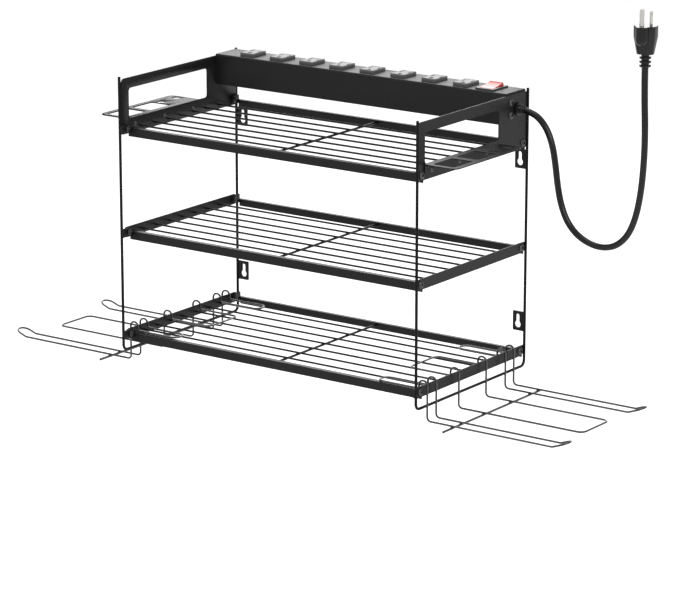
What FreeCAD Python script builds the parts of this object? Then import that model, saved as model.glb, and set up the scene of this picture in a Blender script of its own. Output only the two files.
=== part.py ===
"""Wall rack that stores power tools: two wire side frames, three wire shelves,
side plates with hand tool holders, a power strip with its cord, and a
lift-off hook rack on each side of the lowest shelf.

Sizes are millimetres. X is the width, Y runs from the front (negative) to the
wall at Y = 0, and Z is up. The origin is the centre of the four keyhole holes
on the wall plane.
"""
import FreeCAD
import Part
import math
import os

Vector = FreeCAD.Vector

# Overall sizes
frame_width = 440.0             # between the centre lines of the side frames
frame_depth = 234.0             # between the front and rear uprights of a side frame
shelf_pitch = 130.0             # from one shelf to the next
shelf_above_holes = 26.5        # top shelf above the upper keyhole holes
hole_pitch_x = 420.0            # keyhole pattern on the wall
hole_pitch_z = 203.0

# Side frames and sheet
frame_wire = 3.5
frame_bend = 7.0                # centre line radius of the lower corners
bottom_wire_drop = 20.0         # lower wire of the frame below the lowest shelf
side_sheet = 1.5                # side plates, side bars and tool holders
tab_sheet = 2.0                 # weld tabs and keyhole tabs

# Side plates of the top shelf
plate_above_shelf = 62.5
plate_below_shelf = 7.0
plate_upright_gap = 0.25        # plate's edges beside the uprights
plate_corner = 3.0
plate_front_corner = 6.0        # upper front corner
upright_above_plate = 3.0
window_front = 18.0             # behind the front upright
window_rear = 62.0              # in front of the rear upright
window_bottom = 12.0            # above the shelf
window_top = 49.0
window_corner = 4.0

# Shelves
rail_gap = 0.25                 # front rail behind the weld tabs
rear_rail_gap = 0.5             # rear rails in front of the wall
rail_face = 10.5
rail_flange = 8.0
rear_flange = 6.0
rail_sheet = 1.5
rail_bend = 2.2
shelf_wire = 2.5
shelf_wire_count = 7
first_wire_gap = 16.5           # first shelf wire behind the front rail's flange
last_wire_gap = 34.75           # last shelf wire in front of the rear rail's flange
cross_wire_dia = 3.0
bar_height = 13.5
bar_above_shelf = 6.5
tab_length = 12.0
tab_height = 11.0
tab_end_flat = 1.0              # straight stretch between a tab's round corners
tab_past_upright = 1.0          # tabs start this far past the uprights' centre lines
bolt_from_tab_end = 4.5

# Fasteners
bolt_dia = 4.0
bolt_clearance = 0.1
thread_clearance = 0.02
bolt_head_dia = 9.0
bolt_head_height = 2.6
bolt_end = 1.0                  # thread left past the nut
socket_dia = 2.6                # recess in a bolt's head
socket_depth = 1.0
nut_flats = 7.0
nut_height = 3.2
rivet_dia = 3.2
rivet_head_dia = 6.0
rivet_head_height = 1.2
fit_gap = 0.1                   # between pieces that slide into each other

# Modelling aids
past = 1.0                      # cutters run this far past a face
least_flat = 0.01               # straight stretch kept between two corners that nearly meet

# Keyhole tabs
keyhole_round = 8.5
keyhole_slot = 5.0
keyhole_slot_rise = 13.0        # top of the slot above the round hole's centre
tab_beside_hole = 7.0           # inner edge of a tab from its hole's centre
tab_below_hole = 8.0
lower_tab_above_hole = 16.5

# Side tool holders
holder_width = 44.5
holder_bolt_gap = 0.25          # holder's front edge behind the bolt heads
holder_length = 143.0
holder_flange = 16.0
holder_corner = 8.0
holder_slot_width = 30.0
holder_slot_inset = 7.0         # slot from the outer edge
holder_slot_length = 40.0
holder_first_slot = 6.0         # first slot from the holder's front edge
holder_slot_gap = 9.0
holder_slot_corner = 3.0
holder_slot_count = 2
driver_hole_count = 2
driver_hole = 12.0
driver_first = 102.0            # first round hole from the holder's front edge
driver_pitch = 31.0
driver_inset = 16.0             # round holes from the outer edge
holder_rivet_inset = 14.0
holder_rivet_count = 3

# Power strip
strip_end_gap = 0.5
strip_depth = 42.75
strip_rear_gap = 0.5            # in front of the uprights
strip_height = 38.5
strip_above_plate = 2.5
strip_wall = 2.0
strip_corner = 2.0
strip_inner_corner = 0.5
end_cap = 1.5
cap_boss_dia = 9.0
cap_boss_length = 9.0
strip_screw_inset = 8.5         # end screws behind the strip's front
strip_screw_pitch = 16.0
screw_tip_gap = 1.0             # end screws end before their bosses do
outlet_count = 8
first_outlet_inset = 42.75      # first outlet from the strip's left end
last_outlet_gap = 37.2          # last outlet from the switch's centre
outlet_width = 21.0
outlet_depth = 28.0
outlet_rise = 4.0
outlet_body = 14.0
outlet_corner = 2.0
outlet_lip = 1.5
outlet_lip_height = 1.5
outlet_inset = 22.0             # outlets' centre line behind the strip's front
blade_spacing = 12.7
blade_slot = (2.0, 8.0)
ground_offset = 11.9
ground_hole = 5.4
pattern_shift = 5.0             # blade slots from the outlet's centre line
bus_thickness = 0.8
clip_height = 6.0
clip_gap = 1.3
clip_length = 7.0
clip_below_outlet = 0.5
bar_beside_clips = 2.5          # bars' centre line from the clips' ends

# Rocker switch
switch_inset = 34.25            # switch's centre from the strip's right end
switch_setback = 21.5           # switch's centre behind the strip's front
switch_width = 27.0
switch_length = 34.0
bezel_rise = 2.0
bezel_lip = 2.0
bezel_corner = 2.0
switch_wall = 1.8
switch_depth = 18.0
rocker_gap = 0.4
rocker_tilt = 10.0
rocker_crown = 5.5
rocker_valley = 3.5
rocker_below = 7.0
pivot_below_top = 1.0
trunnion_dia = 4.0
trunnion_clearance = 0.05
trunnion_end_gap = 0.2

# Cord and plug
cord_dia = 8.0
cord_exit_setback = 23.0        # behind the strip's front
cord_exit_drop = 19.0           # below the side plates' top
gland_outer = 16.0
gland_flange = 3.0
gland_body = 12.0
gland_inside = 3.0              # past the end cap's inner face
relief_bend = 45.0
relief_turn = 10.0
relief_start_dia = 12.0
relief_end_dia = 10.0
relief_steps = 3
cord_route = [                  # X and Z, in the plane of the exit
    (238.6, 169.4),
    (248.6, 165.2),
    (257.6, 157.0),
    (265.0, 145.6),
    (270.8, 129.0),
    (274.6, 108.0),
    (277.8, 85.0),
    (282.4, 64.5),
    (290.8, 44.5),
    (304.6, 29.4),
    (322.6, 20.6),
    (342.2, 18.0),
    (360.8, 23.2),
    (376.2, 37.8),
    (386.2, 60.5),
    (392.4, 91.0),
    (395.6, 126.0),
    (396.4, 165.0),
    (394.1, 212.0),
    (394.1, 241.8),
]
plug_turn = 98.0                # plug turned about its own axis
plug_width = 21.0               # across the two blades' flat sides
plug_thickness = 27.0           # along the row of the two blades
plug_height = 33.6
plug_corner = 8.0
plug_straight = 13.0            # below the pins, before the taper
plug_end_width = 16.0           # at the relief's end
plug_end_thickness = 20.5
plug_end_corner = 6.0
plug_rib_dia = 15.0             # round rib of the body under the ground pin
plug_rib_length = 15.4          # from the pins' face to the centre of its round end
plug_relief = 16.0
plug_relief_dia = 14.0
plug_relief_low_dia = 12.5
blade_length = 17.6
blade_width = 6.35
blade_thickness = 1.5
blade_corner = 2.0
blade_hole = 3.0
blade_hole_below_tip = 4.5
ground_pin_dia = 4.8
ground_pin_length = 21.4
pin_root = 5.0

# Hook racks
hook_wire = 2.5
hook_gap = 0.3                  # hooks above the shelf they rest on
arch_width = 12.0
arch_rise = 5.5                 # arch's centre line above the side bar
hook_side_gap = 4.0             # outer legs beside the side bar
leg_drop = 36.5                 # prongs below the lowest shelf
prong_end = 178.0               # where the prongs turn up, from the centre line
tip_length = 19.0
tip_rise = 20.0
narrow_hook = 18.7              # between the two wires of a narrow hook
wide_hook = 59.0
wide_corner = 8.0
tail_length = 60.0
small_bend = 3.0
leg_bend = 5.0
tip_bend = 10.0
rack_front = {1: 16.4, -1: 20.6}    # first wire behind the front upright, right and left
rack_rear = 30.9                # right rack's last wire in front of the rear upright
wide_hook_shift = 2.75          # middle hook behind the middle of the other two
rack_cross_x = 40.0             # cross wire outside the frame
rack_cross_overhang = 19.0

# Derived places
half_width = frame_width / 2
rear_y = -frame_wire / 2
front_y = rear_y - frame_depth
inner_x = half_width - frame_wire / 2
outer_x = inner_x + side_sheet
shelf_z = [hole_pitch_z / 2 + shelf_above_holes - shelf_pitch * level for level in range(3)]
shelf_names = ["top_shelf", "middle_shelf", "bottom_shelf"]
bottom_wire_z = shelf_z[2] - bottom_wire_drop
plate_top = shelf_z[0] + plate_above_shelf
tab_front_end = front_y + frame_wire / 2 + tab_length
tab_rear_end = rear_y - frame_wire / 2 - tab_length
bolt_ys = [tab_front_end - bolt_from_tab_end, tab_rear_end + bolt_from_tab_end]
rail_y = tab_front_end + rail_gap
rear_rail_y = -rear_rail_gap
strip_end = inner_x - strip_end_gap
strip_top = plate_top + strip_above_plate
strip_rear = -frame_wire - strip_rear_gap
strip_front = strip_rear - strip_depth
outlet_y = strip_front + outlet_inset
switch_y = strip_front + switch_setback
cord_exit_y = strip_front + cord_exit_setback
switch_x = strip_end - switch_inset
cord_exit_height = plate_top - cord_exit_drop
side_names = {1: "right", -1: "left"}


def save(name, *shapes):
    """Write one node: a solid or a group of separate solids."""
    solids = [solid for shape in shapes for solid in shape.Solids]
    node = solids[0] if len(solids) == 1 else Part.makeCompound(solids)
    valid = all(solid.isValid() for solid in solids)
    print(f"{name}: {len(solids)} solids, volume {sum(s.Volume for s in solids):.0f}, valid {valid}")
    node.exportStep(os.path.join("parts", name + ".step"))


def block(x_range, y_range, z_range):
    """Box between the two values of each range."""
    low = Vector(min(x_range), min(y_range), min(z_range))
    high = Vector(max(x_range), max(y_range), max(z_range))
    size = high - low
    return Part.makeBox(size.x, size.y, size.z, low)


def rod(start, end, diameter):
    """Round rod from one point to another."""
    axis = end - start
    return Part.makeCylinder(diameter / 2, axis.Length, start, axis)


def mirrored(shape, side):
    """The shape as it is on the right, or mirrored to the left."""
    if side > 0:
        return shape
    return shape.mirror(Vector(0, 0, 0), Vector(1, 0, 0))


def rounded_edges(points, radii, closed):
    """Straight edges joined by tangent arcs at the corners."""
    count = len(points)
    corners = []
    for index, point in enumerate(points):
        inside = closed or 0 < index < count - 1
        radius = radii[index] if inside else 0
        if not radius:
            corners.append((point, point, None))
            continue
        back = (points[index - 1] - point).normalize()
        ahead = (points[(index + 1) % count] - point).normalize()
        half_angle = back.getAngle(ahead) / 2
        reach = radius / math.tan(half_angle)
        bisector = (back + ahead).normalize()
        middle = point + bisector * (radius / math.sin(half_angle) - radius)
        corners.append((point + back * reach, point + ahead * reach, middle))
    edges = []
    for index, (entry, leave, middle) in enumerate(corners):
        if middle is not None:
            edges.append(Part.Arc(entry, middle, leave).toShape())
        following = corners[(index + 1) % count]
        last = index == count - 1
        if (not last or closed) and leave.distanceToPoint(following[0]) > 1e-6:
            edges.append(Part.LineSegment(leave, following[0]).toShape())
    return edges


def swept(edges, diameter):
    """Round wire along edges that meet tangentially."""
    path = Part.Wire(edges)
    first = edges[0]
    start = first.valueAt(first.FirstParameter)
    heading = first.tangentAt(first.FirstParameter)
    section = Part.Wire(Part.makeCircle(diameter / 2, start, heading))
    tube = path.makePipeShell([section], True, False)
    return tube if tube.ShapeType == "Solid" else Part.Solid(tube)


def bent_wire(points, radii, diameter):
    """Round wire along an open path with bends at its corners."""
    return swept(rounded_edges(points, radii, False), diameter)


def closed_wire(points, radii, diameter):
    """Round wire whose two ends are welded together, swept in two halves."""
    edges = rounded_edges(points, radii, True)
    half = len(edges) // 2
    return swept(edges[:half], diameter).fuse(swept(edges[half:], diameter)).removeSplitter()


def prism(outline, radii, direction):
    """Solid between a rounded outline and its copy at the far end of a vector."""
    edges = rounded_edges(outline, radii, True)
    return Part.Face(Part.Wire(edges)).extrude(direction)


def rounded_rectangle(low, high, radius, depth_axis, depth):
    """Rectangle with round corners, cut or built along one axis."""
    if depth_axis == "x":
        corners = ((low.y, low.z), (high.y, low.z), (high.y, high.z), (low.y, high.z))
        outline = [Vector(low.x, y, z) for y, z in corners]
        direction = Vector(depth, 0, 0)
    else:
        corners = ((low.x, low.y), (high.x, low.y), (high.x, high.y), (low.x, high.y))
        outline = [Vector(x, y, low.z) for x, y in corners]
        direction = Vector(0, 0, depth)
    return prism(outline, [radius] * 4, direction)


def hole_x(y, z, diameter, x_range):
    """Round cutter along X."""
    return rod(Vector(x_range[0], y, z), Vector(x_range[1], y, z), diameter)


def bolt_z(level):
    """Height of the bolts that hold a shelf."""
    return shelf_z[level] + bar_above_shelf - bar_height / 2


def dome_arc(seat, heading, diameter, height):
    """Half outline of a low dome from its rim to its top, along X in the plane above the seat."""
    radius = ((diameter / 2) ** 2 + height ** 2) / (2 * height)
    centre = seat + Vector(heading * (height - radius), 0, 0)
    middle = math.asin(diameter / 2 / radius) / 2
    rim = seat + Vector(0, 0, diameter / 2)
    halfway = centre + Vector(heading * radius * math.cos(middle), 0, radius * math.sin(middle))
    top = seat + Vector(heading * height, 0, 0)
    return rim, halfway, top


def headed_pin(start, seat, pin_dia, head, tail=None):
    """Pin along X with a domed head at its seat, and a second head where a tail is given."""
    radius = Vector(0, 0, pin_dia / 2)
    rim, halfway, top = dome_arc(seat, 1, *head)
    if tail:
        tail_rim, tail_halfway, tail_top = dome_arc(start, -1, *tail)
        curves = [Part.Arc(tail_top, tail_halfway, tail_rim), Part.LineSegment(tail_rim, start + radius)]
    else:
        tail_top = start
        curves = [Part.LineSegment(start, start + radius)]
    curves += [Part.LineSegment(start + radius, seat + radius), Part.LineSegment(seat + radius, rim)]
    curves += [Part.Arc(rim, halfway, top), Part.LineSegment(top, tail_top)]
    outline = Part.Wire([curve.toShape() for curve in curves])
    return Part.Face(outline).revolve(seat, Vector(1, 0, 0), 360)


def make_side_frames():
    """Bent wire of each side: two uprights and the wire under them."""
    top = plate_top + upright_above_plate
    for side in (1, -1):
        x = side * half_width
        points = [
            Vector(x, front_y, top),
            Vector(x, front_y, bottom_wire_z),
            Vector(x, rear_y, bottom_wire_z),
            Vector(x, rear_y, top),
        ]
        save(f"{side_names[side]}_frame_wire", bent_wire(points, [0, frame_bend, frame_bend, 0], frame_wire))


def weld_tab(level, side, front):
    """Tab that joins a shelf's bolt to an upright."""
    heading = 1 if front else -1
    upright = front_y if front else rear_y
    start = upright - heading * tab_past_upright
    end = upright + heading * (frame_wire / 2 + tab_length)
    z = bolt_z(level)
    corner = (tab_height - tab_end_flat) / 2
    x = inner_x - tab_sheet
    outline = [
        Vector(x, start, z - tab_height / 2),
        Vector(x, end, z - tab_height / 2),
        Vector(x, end, z + tab_height / 2),
        Vector(x, start, z + tab_height / 2),
    ]
    tab = prism(outline, [0, corner, corner, 0], Vector(tab_sheet, 0, 0))
    y = bolt_ys[0] if front else bolt_ys[1]
    hole = hole_x(y, z, bolt_dia + 2 * bolt_clearance, (x - past, inner_x + past))
    return mirrored(tab.cut(hole), side)


def frame_bolt(level, side, y):
    """Pan head bolt, driven from outside."""
    z = bolt_z(level)
    shank_end = inner_x - tab_sheet - nut_height - bolt_end
    return mirrored(screw_like(shank_end, y, z), side)


def screw_like(tip_x, y, z):
    """Pan head screw from outside a side, with a round recess in its head."""
    seat = Vector(outer_x, y, z)
    screw = headed_pin(Vector(tip_x, y, z), seat, bolt_dia, (bolt_head_dia, bolt_head_height))
    head_top = outer_x + bolt_head_height
    return screw.cut(hole_x(y, z, socket_dia, (head_top - socket_depth, head_top + past)))


def frame_nut(level, side, y):
    """Hexagon nut behind a weld tab."""
    seat = inner_x - tab_sheet
    z = bolt_z(level)
    corner = nut_flats / 2 / math.cos(math.pi / 6)
    points = []
    for step in range(6):
        angle = math.pi / 3 * (step + 1)
        points.append(Vector(seat - nut_height, y + corner * math.sin(angle), z + corner * math.cos(angle)))
    nut = prism(points, [0] * 6, Vector(nut_height, 0, 0))
    bore = hole_x(y, z, bolt_dia + 2 * thread_clearance, (seat - nut_height - past, seat + past))
    return mirrored(nut.cut(bore), side)


def make_joints():
    """Weld tabs, bolts and nuts at the twelve corners of the shelves."""
    places = [(level, side, front) for level in range(3) for side in (1, -1) for front in (True, False)]
    save("weld_tabs", *[weld_tab(*place) for place in places])
    spots = [(level, side, bolt_ys[0] if front else bolt_ys[1]) for level, side, front in places]
    save("frame_bolts", *[frame_bolt(*spot) for spot in spots])
    save("frame_nuts", *[frame_nut(*spot) for spot in spots])


def holder_rivet_ys():
    """Places of the rivets along a tool holder."""
    front = holder_edges()[0] + holder_rivet_inset
    rear = holder_edges()[1] - holder_rivet_inset
    step = (rear - front) / (holder_rivet_count - 1)
    return [front + step * index for index in range(holder_rivet_count)]


def holder_edges():
    """Front and rear edges of a tool holder."""
    front = bolt_ys[0] + bolt_head_dia / 2 + holder_bolt_gap
    return front, front + holder_length


def holder_rivet_z():
    """Height of the holders' rivets."""
    return shelf_z[0] + window_bottom - holder_flange / 2 - side_sheet / 2


def strip_screw_spots():
    """Places of the screws through a side plate into the strip's end."""
    y = strip_front + strip_screw_inset
    middle = strip_top - strip_height / 2
    return [(y, middle + strip_screw_pitch / 2), (y, middle - strip_screw_pitch / 2)]


def make_side_plates():
    """Flat plate between the uprights on each side of the top shelf."""
    front = front_y + frame_wire / 2 + plate_upright_gap
    rear = rear_y - frame_wire / 2 - plate_upright_gap
    bottom = shelf_z[0] - plate_below_shelf
    outline = [
        Vector(inner_x, front, bottom),
        Vector(inner_x, rear, bottom),
        Vector(inner_x, rear, plate_top),
        Vector(inner_x, front, plate_top),
    ]
    radii = [plate_corner, plate_corner, plate_corner, plate_front_corner]
    plate = prism(outline, radii, Vector(side_sheet, 0, 0))
    x_range = (inner_x - past, outer_x + past)
    cutters = [rounded_rectangle(
        Vector(inner_x - past, front_y + window_front - frame_wire / 2, shelf_z[0] + window_bottom),
        Vector(0, rear_y - window_rear, shelf_z[0] + window_top), window_corner, "x", side_sheet + 2 * past)]
    cutters += [hole_x(y, bolt_z(0), bolt_dia + 2 * bolt_clearance, x_range) for y in bolt_ys]
    cutters += [hole_x(y, holder_rivet_z(), rivet_dia, x_range) for y in holder_rivet_ys()]
    cutters += [hole_x(y, z, bolt_dia + 2 * bolt_clearance, x_range) for y, z in strip_screw_spots()]
    plain = plate.cut(Part.makeCompound(cutters))
    gland_hole = hole_x(cord_exit_y, cord_exit_height, gland_body, x_range)
    save("right_side_plate", plain.cut(gland_hole))
    save("left_side_plate", mirrored(plain, -1))


def make_rails(level, name):
    """Bent front and rear rails of a shelf."""
    top = shelf_z[level]
    low = top - rail_face
    under = top - rail_sheet
    front = [
        Vector(-inner_x, rail_y, low),
        Vector(-inner_x, rail_y, top),
        Vector(-inner_x, rail_y + rail_flange, top),
        Vector(-inner_x, rail_y + rail_flange, under),
        Vector(-inner_x, rail_y + rail_sheet, under),
        Vector(-inner_x, rail_y + rail_sheet, low),
    ]
    radii = [0, rail_bend, 0, 0, rail_bend - rail_sheet, 0]
    save(f"{name}_front_rail", prism(front, radii, Vector(2 * inner_x, 0, 0)))
    end = inner_x - tab_sheet
    face = rear_rail_y
    rear = [
        Vector(-end, face, low),
        Vector(-end, face, top),
        Vector(-end, face - rear_flange, top),
        Vector(-end, face - rear_flange, under),
        Vector(-end, face - rail_sheet, under),
        Vector(-end, face - rail_sheet, low),
    ]
    save(f"{name}_rear_rail", prism(rear, radii, Vector(2 * end, 0, 0)))


def make_shelf_wires(level, name):
    """Wires along the width of a shelf."""
    z = shelf_z[level] - shelf_wire / 2
    first = rail_y + rail_flange + first_wire_gap
    last = rear_rail_y - rear_flange - last_wire_gap
    pitch = (last - first) / (shelf_wire_count - 1)
    wires = []
    for index in range(shelf_wire_count):
        y = first + pitch * index
        wires.append(rod(Vector(-inner_x, y, z), Vector(inner_x, y, z), shelf_wire))
    save(f"{name}_wires", *wires)


def shelf_cross_bar(level):
    """Bar from front to rear under the middle of a shelf's wires."""
    z = shelf_z[level] - shelf_wire - cross_wire_dia / 2
    front = rail_y + rail_sheet
    rear = rear_rail_y - rail_sheet
    return rod(Vector(0, front, z), Vector(0, rear, z), cross_wire_dia)


def make_side_bar(level, name, side):
    """Flat bar with round ends at the side of a lower shelf."""
    z = bolt_z(level)
    end = bar_height / 2
    low = Vector(inner_x, bolt_ys[0] - end, z - end)
    high = Vector(0, bolt_ys[1] + end, z + end)
    bar = rounded_rectangle(low, high, end - least_flat, "x", side_sheet)
    x_range = (inner_x - past, outer_x + past)
    holes = [hole_x(y, z, bolt_dia + 2 * bolt_clearance, x_range) for y in bolt_ys]
    save(f"{name}_{side_names[side]}_bar", mirrored(bar.cut(Part.makeCompound(holes)), side))


def make_shelves():
    """The three shelves."""
    for level, name in enumerate(shelf_names):
        make_rails(level, name)
        make_shelf_wires(level, name)
        if level:
            make_side_bar(level, name, 1)
            make_side_bar(level, name, -1)
    save("shelf_cross_bars", *[shelf_cross_bar(level) for level in range(3)])


def keyhole_tab(hole_z, top, side):
    """Tab with a keyhole, beside a rear upright on the wall plane."""
    outer = half_width - frame_wire / 2
    x = hole_pitch_x / 2
    tab = block((x - tab_beside_hole, outer), (-tab_sheet, 0), (hole_z - tab_below_hole, top))
    through = (-tab_sheet - past, past)
    slot_top = hole_z + keyhole_slot_rise - keyhole_slot / 2
    cuts = [rod(Vector(x, through[0], hole_z), Vector(x, through[1], hole_z), keyhole_round)]
    cuts.append(rod(Vector(x, through[0], slot_top), Vector(x, through[1], slot_top), keyhole_slot))
    cuts.append(block((x - keyhole_slot / 2, x + keyhole_slot / 2), through, (hole_z, slot_top)))
    return mirrored(tab.cut(Part.makeCompound(cuts)), side)


def make_keyhole_tabs():
    """Upper tabs under the top shelf's rear rail, lower tabs on the uprights."""
    upper = hole_pitch_z / 2
    lower = -hole_pitch_z / 2
    upper_top = shelf_z[0] - rail_face
    save("upper_keyhole_tabs", *[keyhole_tab(upper, upper_top, side) for side in (1, -1)])
    save("lower_keyhole_tabs", *[keyhole_tab(lower, lower + lower_tab_above_hole, side) for side in (1, -1)])


def make_tool_holders():
    """Bent sheet outside each side plate, with slots and round holes."""
    front, rear = holder_edges()
    top = shelf_z[0] + window_bottom
    outer = outer_x + holder_width
    sheet_range = (top - side_sheet, top)
    tray = rounded_rectangle(
        Vector(outer_x, front, top - side_sheet), Vector(outer, rear, 0), holder_corner, "z", side_sheet)
    square = block((outer_x, outer_x + 2 * holder_corner), (front, rear), sheet_range)
    flange = block((outer_x, outer_x + side_sheet), (front, rear), (top - holder_flange, top))
    cutters = []
    slot_outer = outer - holder_slot_inset
    for index in range(holder_slot_count):
        start = front + holder_first_slot + (holder_slot_length + holder_slot_gap) * index
        cutters.append(rounded_rectangle(
            Vector(slot_outer - holder_slot_width, start, top - side_sheet - past),
            Vector(slot_outer, start + holder_slot_length, 0), holder_slot_corner, "z", side_sheet + 2 * past))
    for index in range(driver_hole_count):
        y = front + driver_first + driver_pitch * index
        x = outer - driver_inset
        cutters.append(rod(Vector(x, y, top - side_sheet - past), Vector(x, y, top + past), driver_hole))
    for y in holder_rivet_ys():
        cutters.append(hole_x(y, holder_rivet_z(), rivet_dia, (outer_x - past, outer_x + side_sheet + past)))
    holder = tray.fuse([square, flange]).removeSplitter().cut(Part.makeCompound(cutters))
    rivets = []
    for side in (1, -1):
        save(f"{side_names[side]}_tool_holder", mirrored(holder, side))
        rivets += [mirrored(holder_rivet(y), side) for y in holder_rivet_ys()]
    save("holder_rivets", *rivets)


def holder_rivet(y):
    """Rivet through a tool holder and a side plate."""
    z = holder_rivet_z()
    outside = Vector(outer_x + side_sheet, y, z)
    inside = Vector(inner_x, y, z)
    head = (rivet_head_dia, rivet_head_height)
    return headed_pin(inside, outside, rivet_dia, head, head)


def strip_box():
    """Ends, front, rear, bottom and top of the power strip."""
    return strip_end, strip_front, strip_rear, strip_top - strip_height, strip_top


def outlet_xs():
    """Centres of the outlets along the strip."""
    first = -strip_end + first_outlet_inset
    last = switch_x - last_outlet_gap
    pitch = (last - first) / (outlet_count - 1)
    return [first + pitch * index for index in range(outlet_count)]


def make_strip_housing():
    """Cover, base, end caps and end screws of the power strip."""
    end, front, rear, bottom, top = strip_box()
    inner = end - end_cap
    section = [
        Vector(-inner, front, bottom),
        Vector(-inner, front, top),
        Vector(-inner, rear, top),
        Vector(-inner, rear, bottom),
        Vector(-inner, rear - strip_wall, bottom),
        Vector(-inner, rear - strip_wall, top - strip_wall),
        Vector(-inner, front + strip_wall, top - strip_wall),
        Vector(-inner, front + strip_wall, bottom),
    ]
    radii = [0, strip_corner, strip_corner, 0, 0, strip_inner_corner, strip_inner_corner, 0]
    cover = prism(section, radii, Vector(2 * inner, 0, 0))
    cutters = []
    z_range = (top - strip_wall - past, top + past)
    for x in outlet_xs():
        half_x = outlet_width / 2 + fit_gap
        half_y = outlet_depth / 2 + fit_gap
        cutters.append(block(
            (x - half_x, x + half_x), (outlet_y - half_y, outlet_y + half_y), z_range))
    half_x = switch_width / 2 - bezel_lip + fit_gap
    half_y = switch_length / 2 - bezel_lip + fit_gap
    cutters.append(block(
        (switch_x - half_x, switch_x + half_x),
        (switch_y - half_y, switch_y + half_y), z_range))
    save("strip_cover", cover.cut(Part.makeCompound(cutters)))
    base_range = (front + strip_wall + fit_gap, rear - strip_wall - fit_gap)
    save("strip_base", block((-inner, inner), base_range, (bottom, bottom + strip_wall)))
    for side in (1, -1):
        make_end_cap(side)
    save("strip_screws", *[strip_screw(y, z, side) for side in (1, -1) for y, z in strip_screw_spots()])


def make_end_cap(side):
    """Cap with bosses that take the end screws."""
    end, front, rear, bottom, top = strip_box()
    outline = rounded_rectangle(
        Vector(end - end_cap, front, bottom), Vector(0, rear, top), strip_corner, "x", end_cap)
    pieces = []
    for y, z in strip_screw_spots():
        pieces.append(rod(Vector(end - cap_boss_length, y, z), Vector(inner_x, y, z), cap_boss_dia))
    cap = outline.fuse(pieces)
    bores = [hole_x(y, z, bolt_dia + 2 * thread_clearance, (end - cap_boss_length - past, inner_x + past))
             for y, z in strip_screw_spots()]
    if side > 0:
        bores.append(hole_x(cord_exit_y, cord_exit_height, gland_body, (end - end_cap - past, inner_x + past)))
    cap = cap.removeSplitter().cut(Part.makeCompound(bores))
    save(f"strip_{side_names[side]}_end_cap", mirrored(cap, side))


def strip_screw(y, z, side):
    """Screw from outside a side plate into the strip's end cap."""
    return mirrored(screw_like(strip_end - cap_boss_length + screw_tip_gap, y, z), side)


def make_outlets():
    """Outlet blocks with two blade slots and a ground hole each."""
    y = outlet_y
    high = strip_top + outlet_rise
    low = high - outlet_body
    blades_y = y + pattern_shift
    ground_y = blades_y - ground_offset
    for index, x in enumerate(outlet_xs()):
        body = rounded_rectangle(
            Vector(x - outlet_width / 2, y - outlet_depth / 2, low),
            Vector(x + outlet_width / 2, y + outlet_depth / 2, 0), outlet_corner, "z", outlet_body)
        lip_top = strip_top - strip_wall
        lip = block(
            (x - outlet_width / 2 - outlet_lip, x + outlet_width / 2 + outlet_lip),
            (y - outlet_depth / 2 - outlet_lip, y + outlet_depth / 2 + outlet_lip),
            (lip_top - outlet_lip_height, lip_top))
        cutters = [rod(Vector(x, ground_y, low - past), Vector(x, ground_y, high + past), ground_hole)]
        for side in (1, -1):
            centre = x + side * blade_spacing / 2
            cutters.append(block(
                (centre - blade_slot[0] / 2, centre + blade_slot[0] / 2),
                (blades_y - blade_slot[1] / 2, blades_y + blade_slot[1] / 2), (low - past, high + past)))
        save(f"outlet_{index + 1}", body.fuse(lip).removeSplitter().cut(Part.makeCompound(cutters)))


def make_bus_bars():
    """Live, neutral and ground bars with a spring clip under each outlet slot."""
    bottom = strip_top - strip_height
    clip_top = strip_top + outlet_rise - outlet_body - clip_below_outlet
    bar_top = clip_top - clip_height
    blades_y = outlet_y + pattern_shift
    ground_y = blades_y - ground_offset
    aside = clip_length / 2 + bar_beside_clips
    rows = {
        "live_bar": (blade_spacing / 2, blades_y, blades_y + aside),
        "neutral_bar": (-blade_spacing / 2, blades_y, blades_y - aside),
        "ground_bar": (0, ground_y, ground_y - aside),
    }
    first = outlet_xs()[0] - outlet_width / 2
    last = outlet_xs()[-1] + outlet_width / 2
    for name, (offset, clip_y, bar_y) in rows.items():
        y_range = (bar_y - bus_thickness / 2, bar_y + bus_thickness / 2)
        clip_front = clip_y - clip_length / 2
        clip_rear = clip_y + clip_length / 2
        pieces = [block((first, last), y_range, (bottom + strip_wall, bar_top))]
        for x in outlet_xs():
            centre = x + offset
            for side in (1, -1):
                inner = centre + side * clip_gap / 2
                leaf = (inner, inner + side * bus_thickness)
                pieces.append(block(leaf, (clip_front, clip_rear), (bar_top, clip_top)))
            reach = clip_gap / 2 + bus_thickness
            foot_y = (min(bar_y, clip_front), max(bar_y, clip_rear))
            pieces.append(block((centre - reach, centre + reach), foot_y, (bar_top - bus_thickness, bar_top)))
        save(name, pieces[0].fuse(pieces[1:]).removeSplitter())


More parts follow.
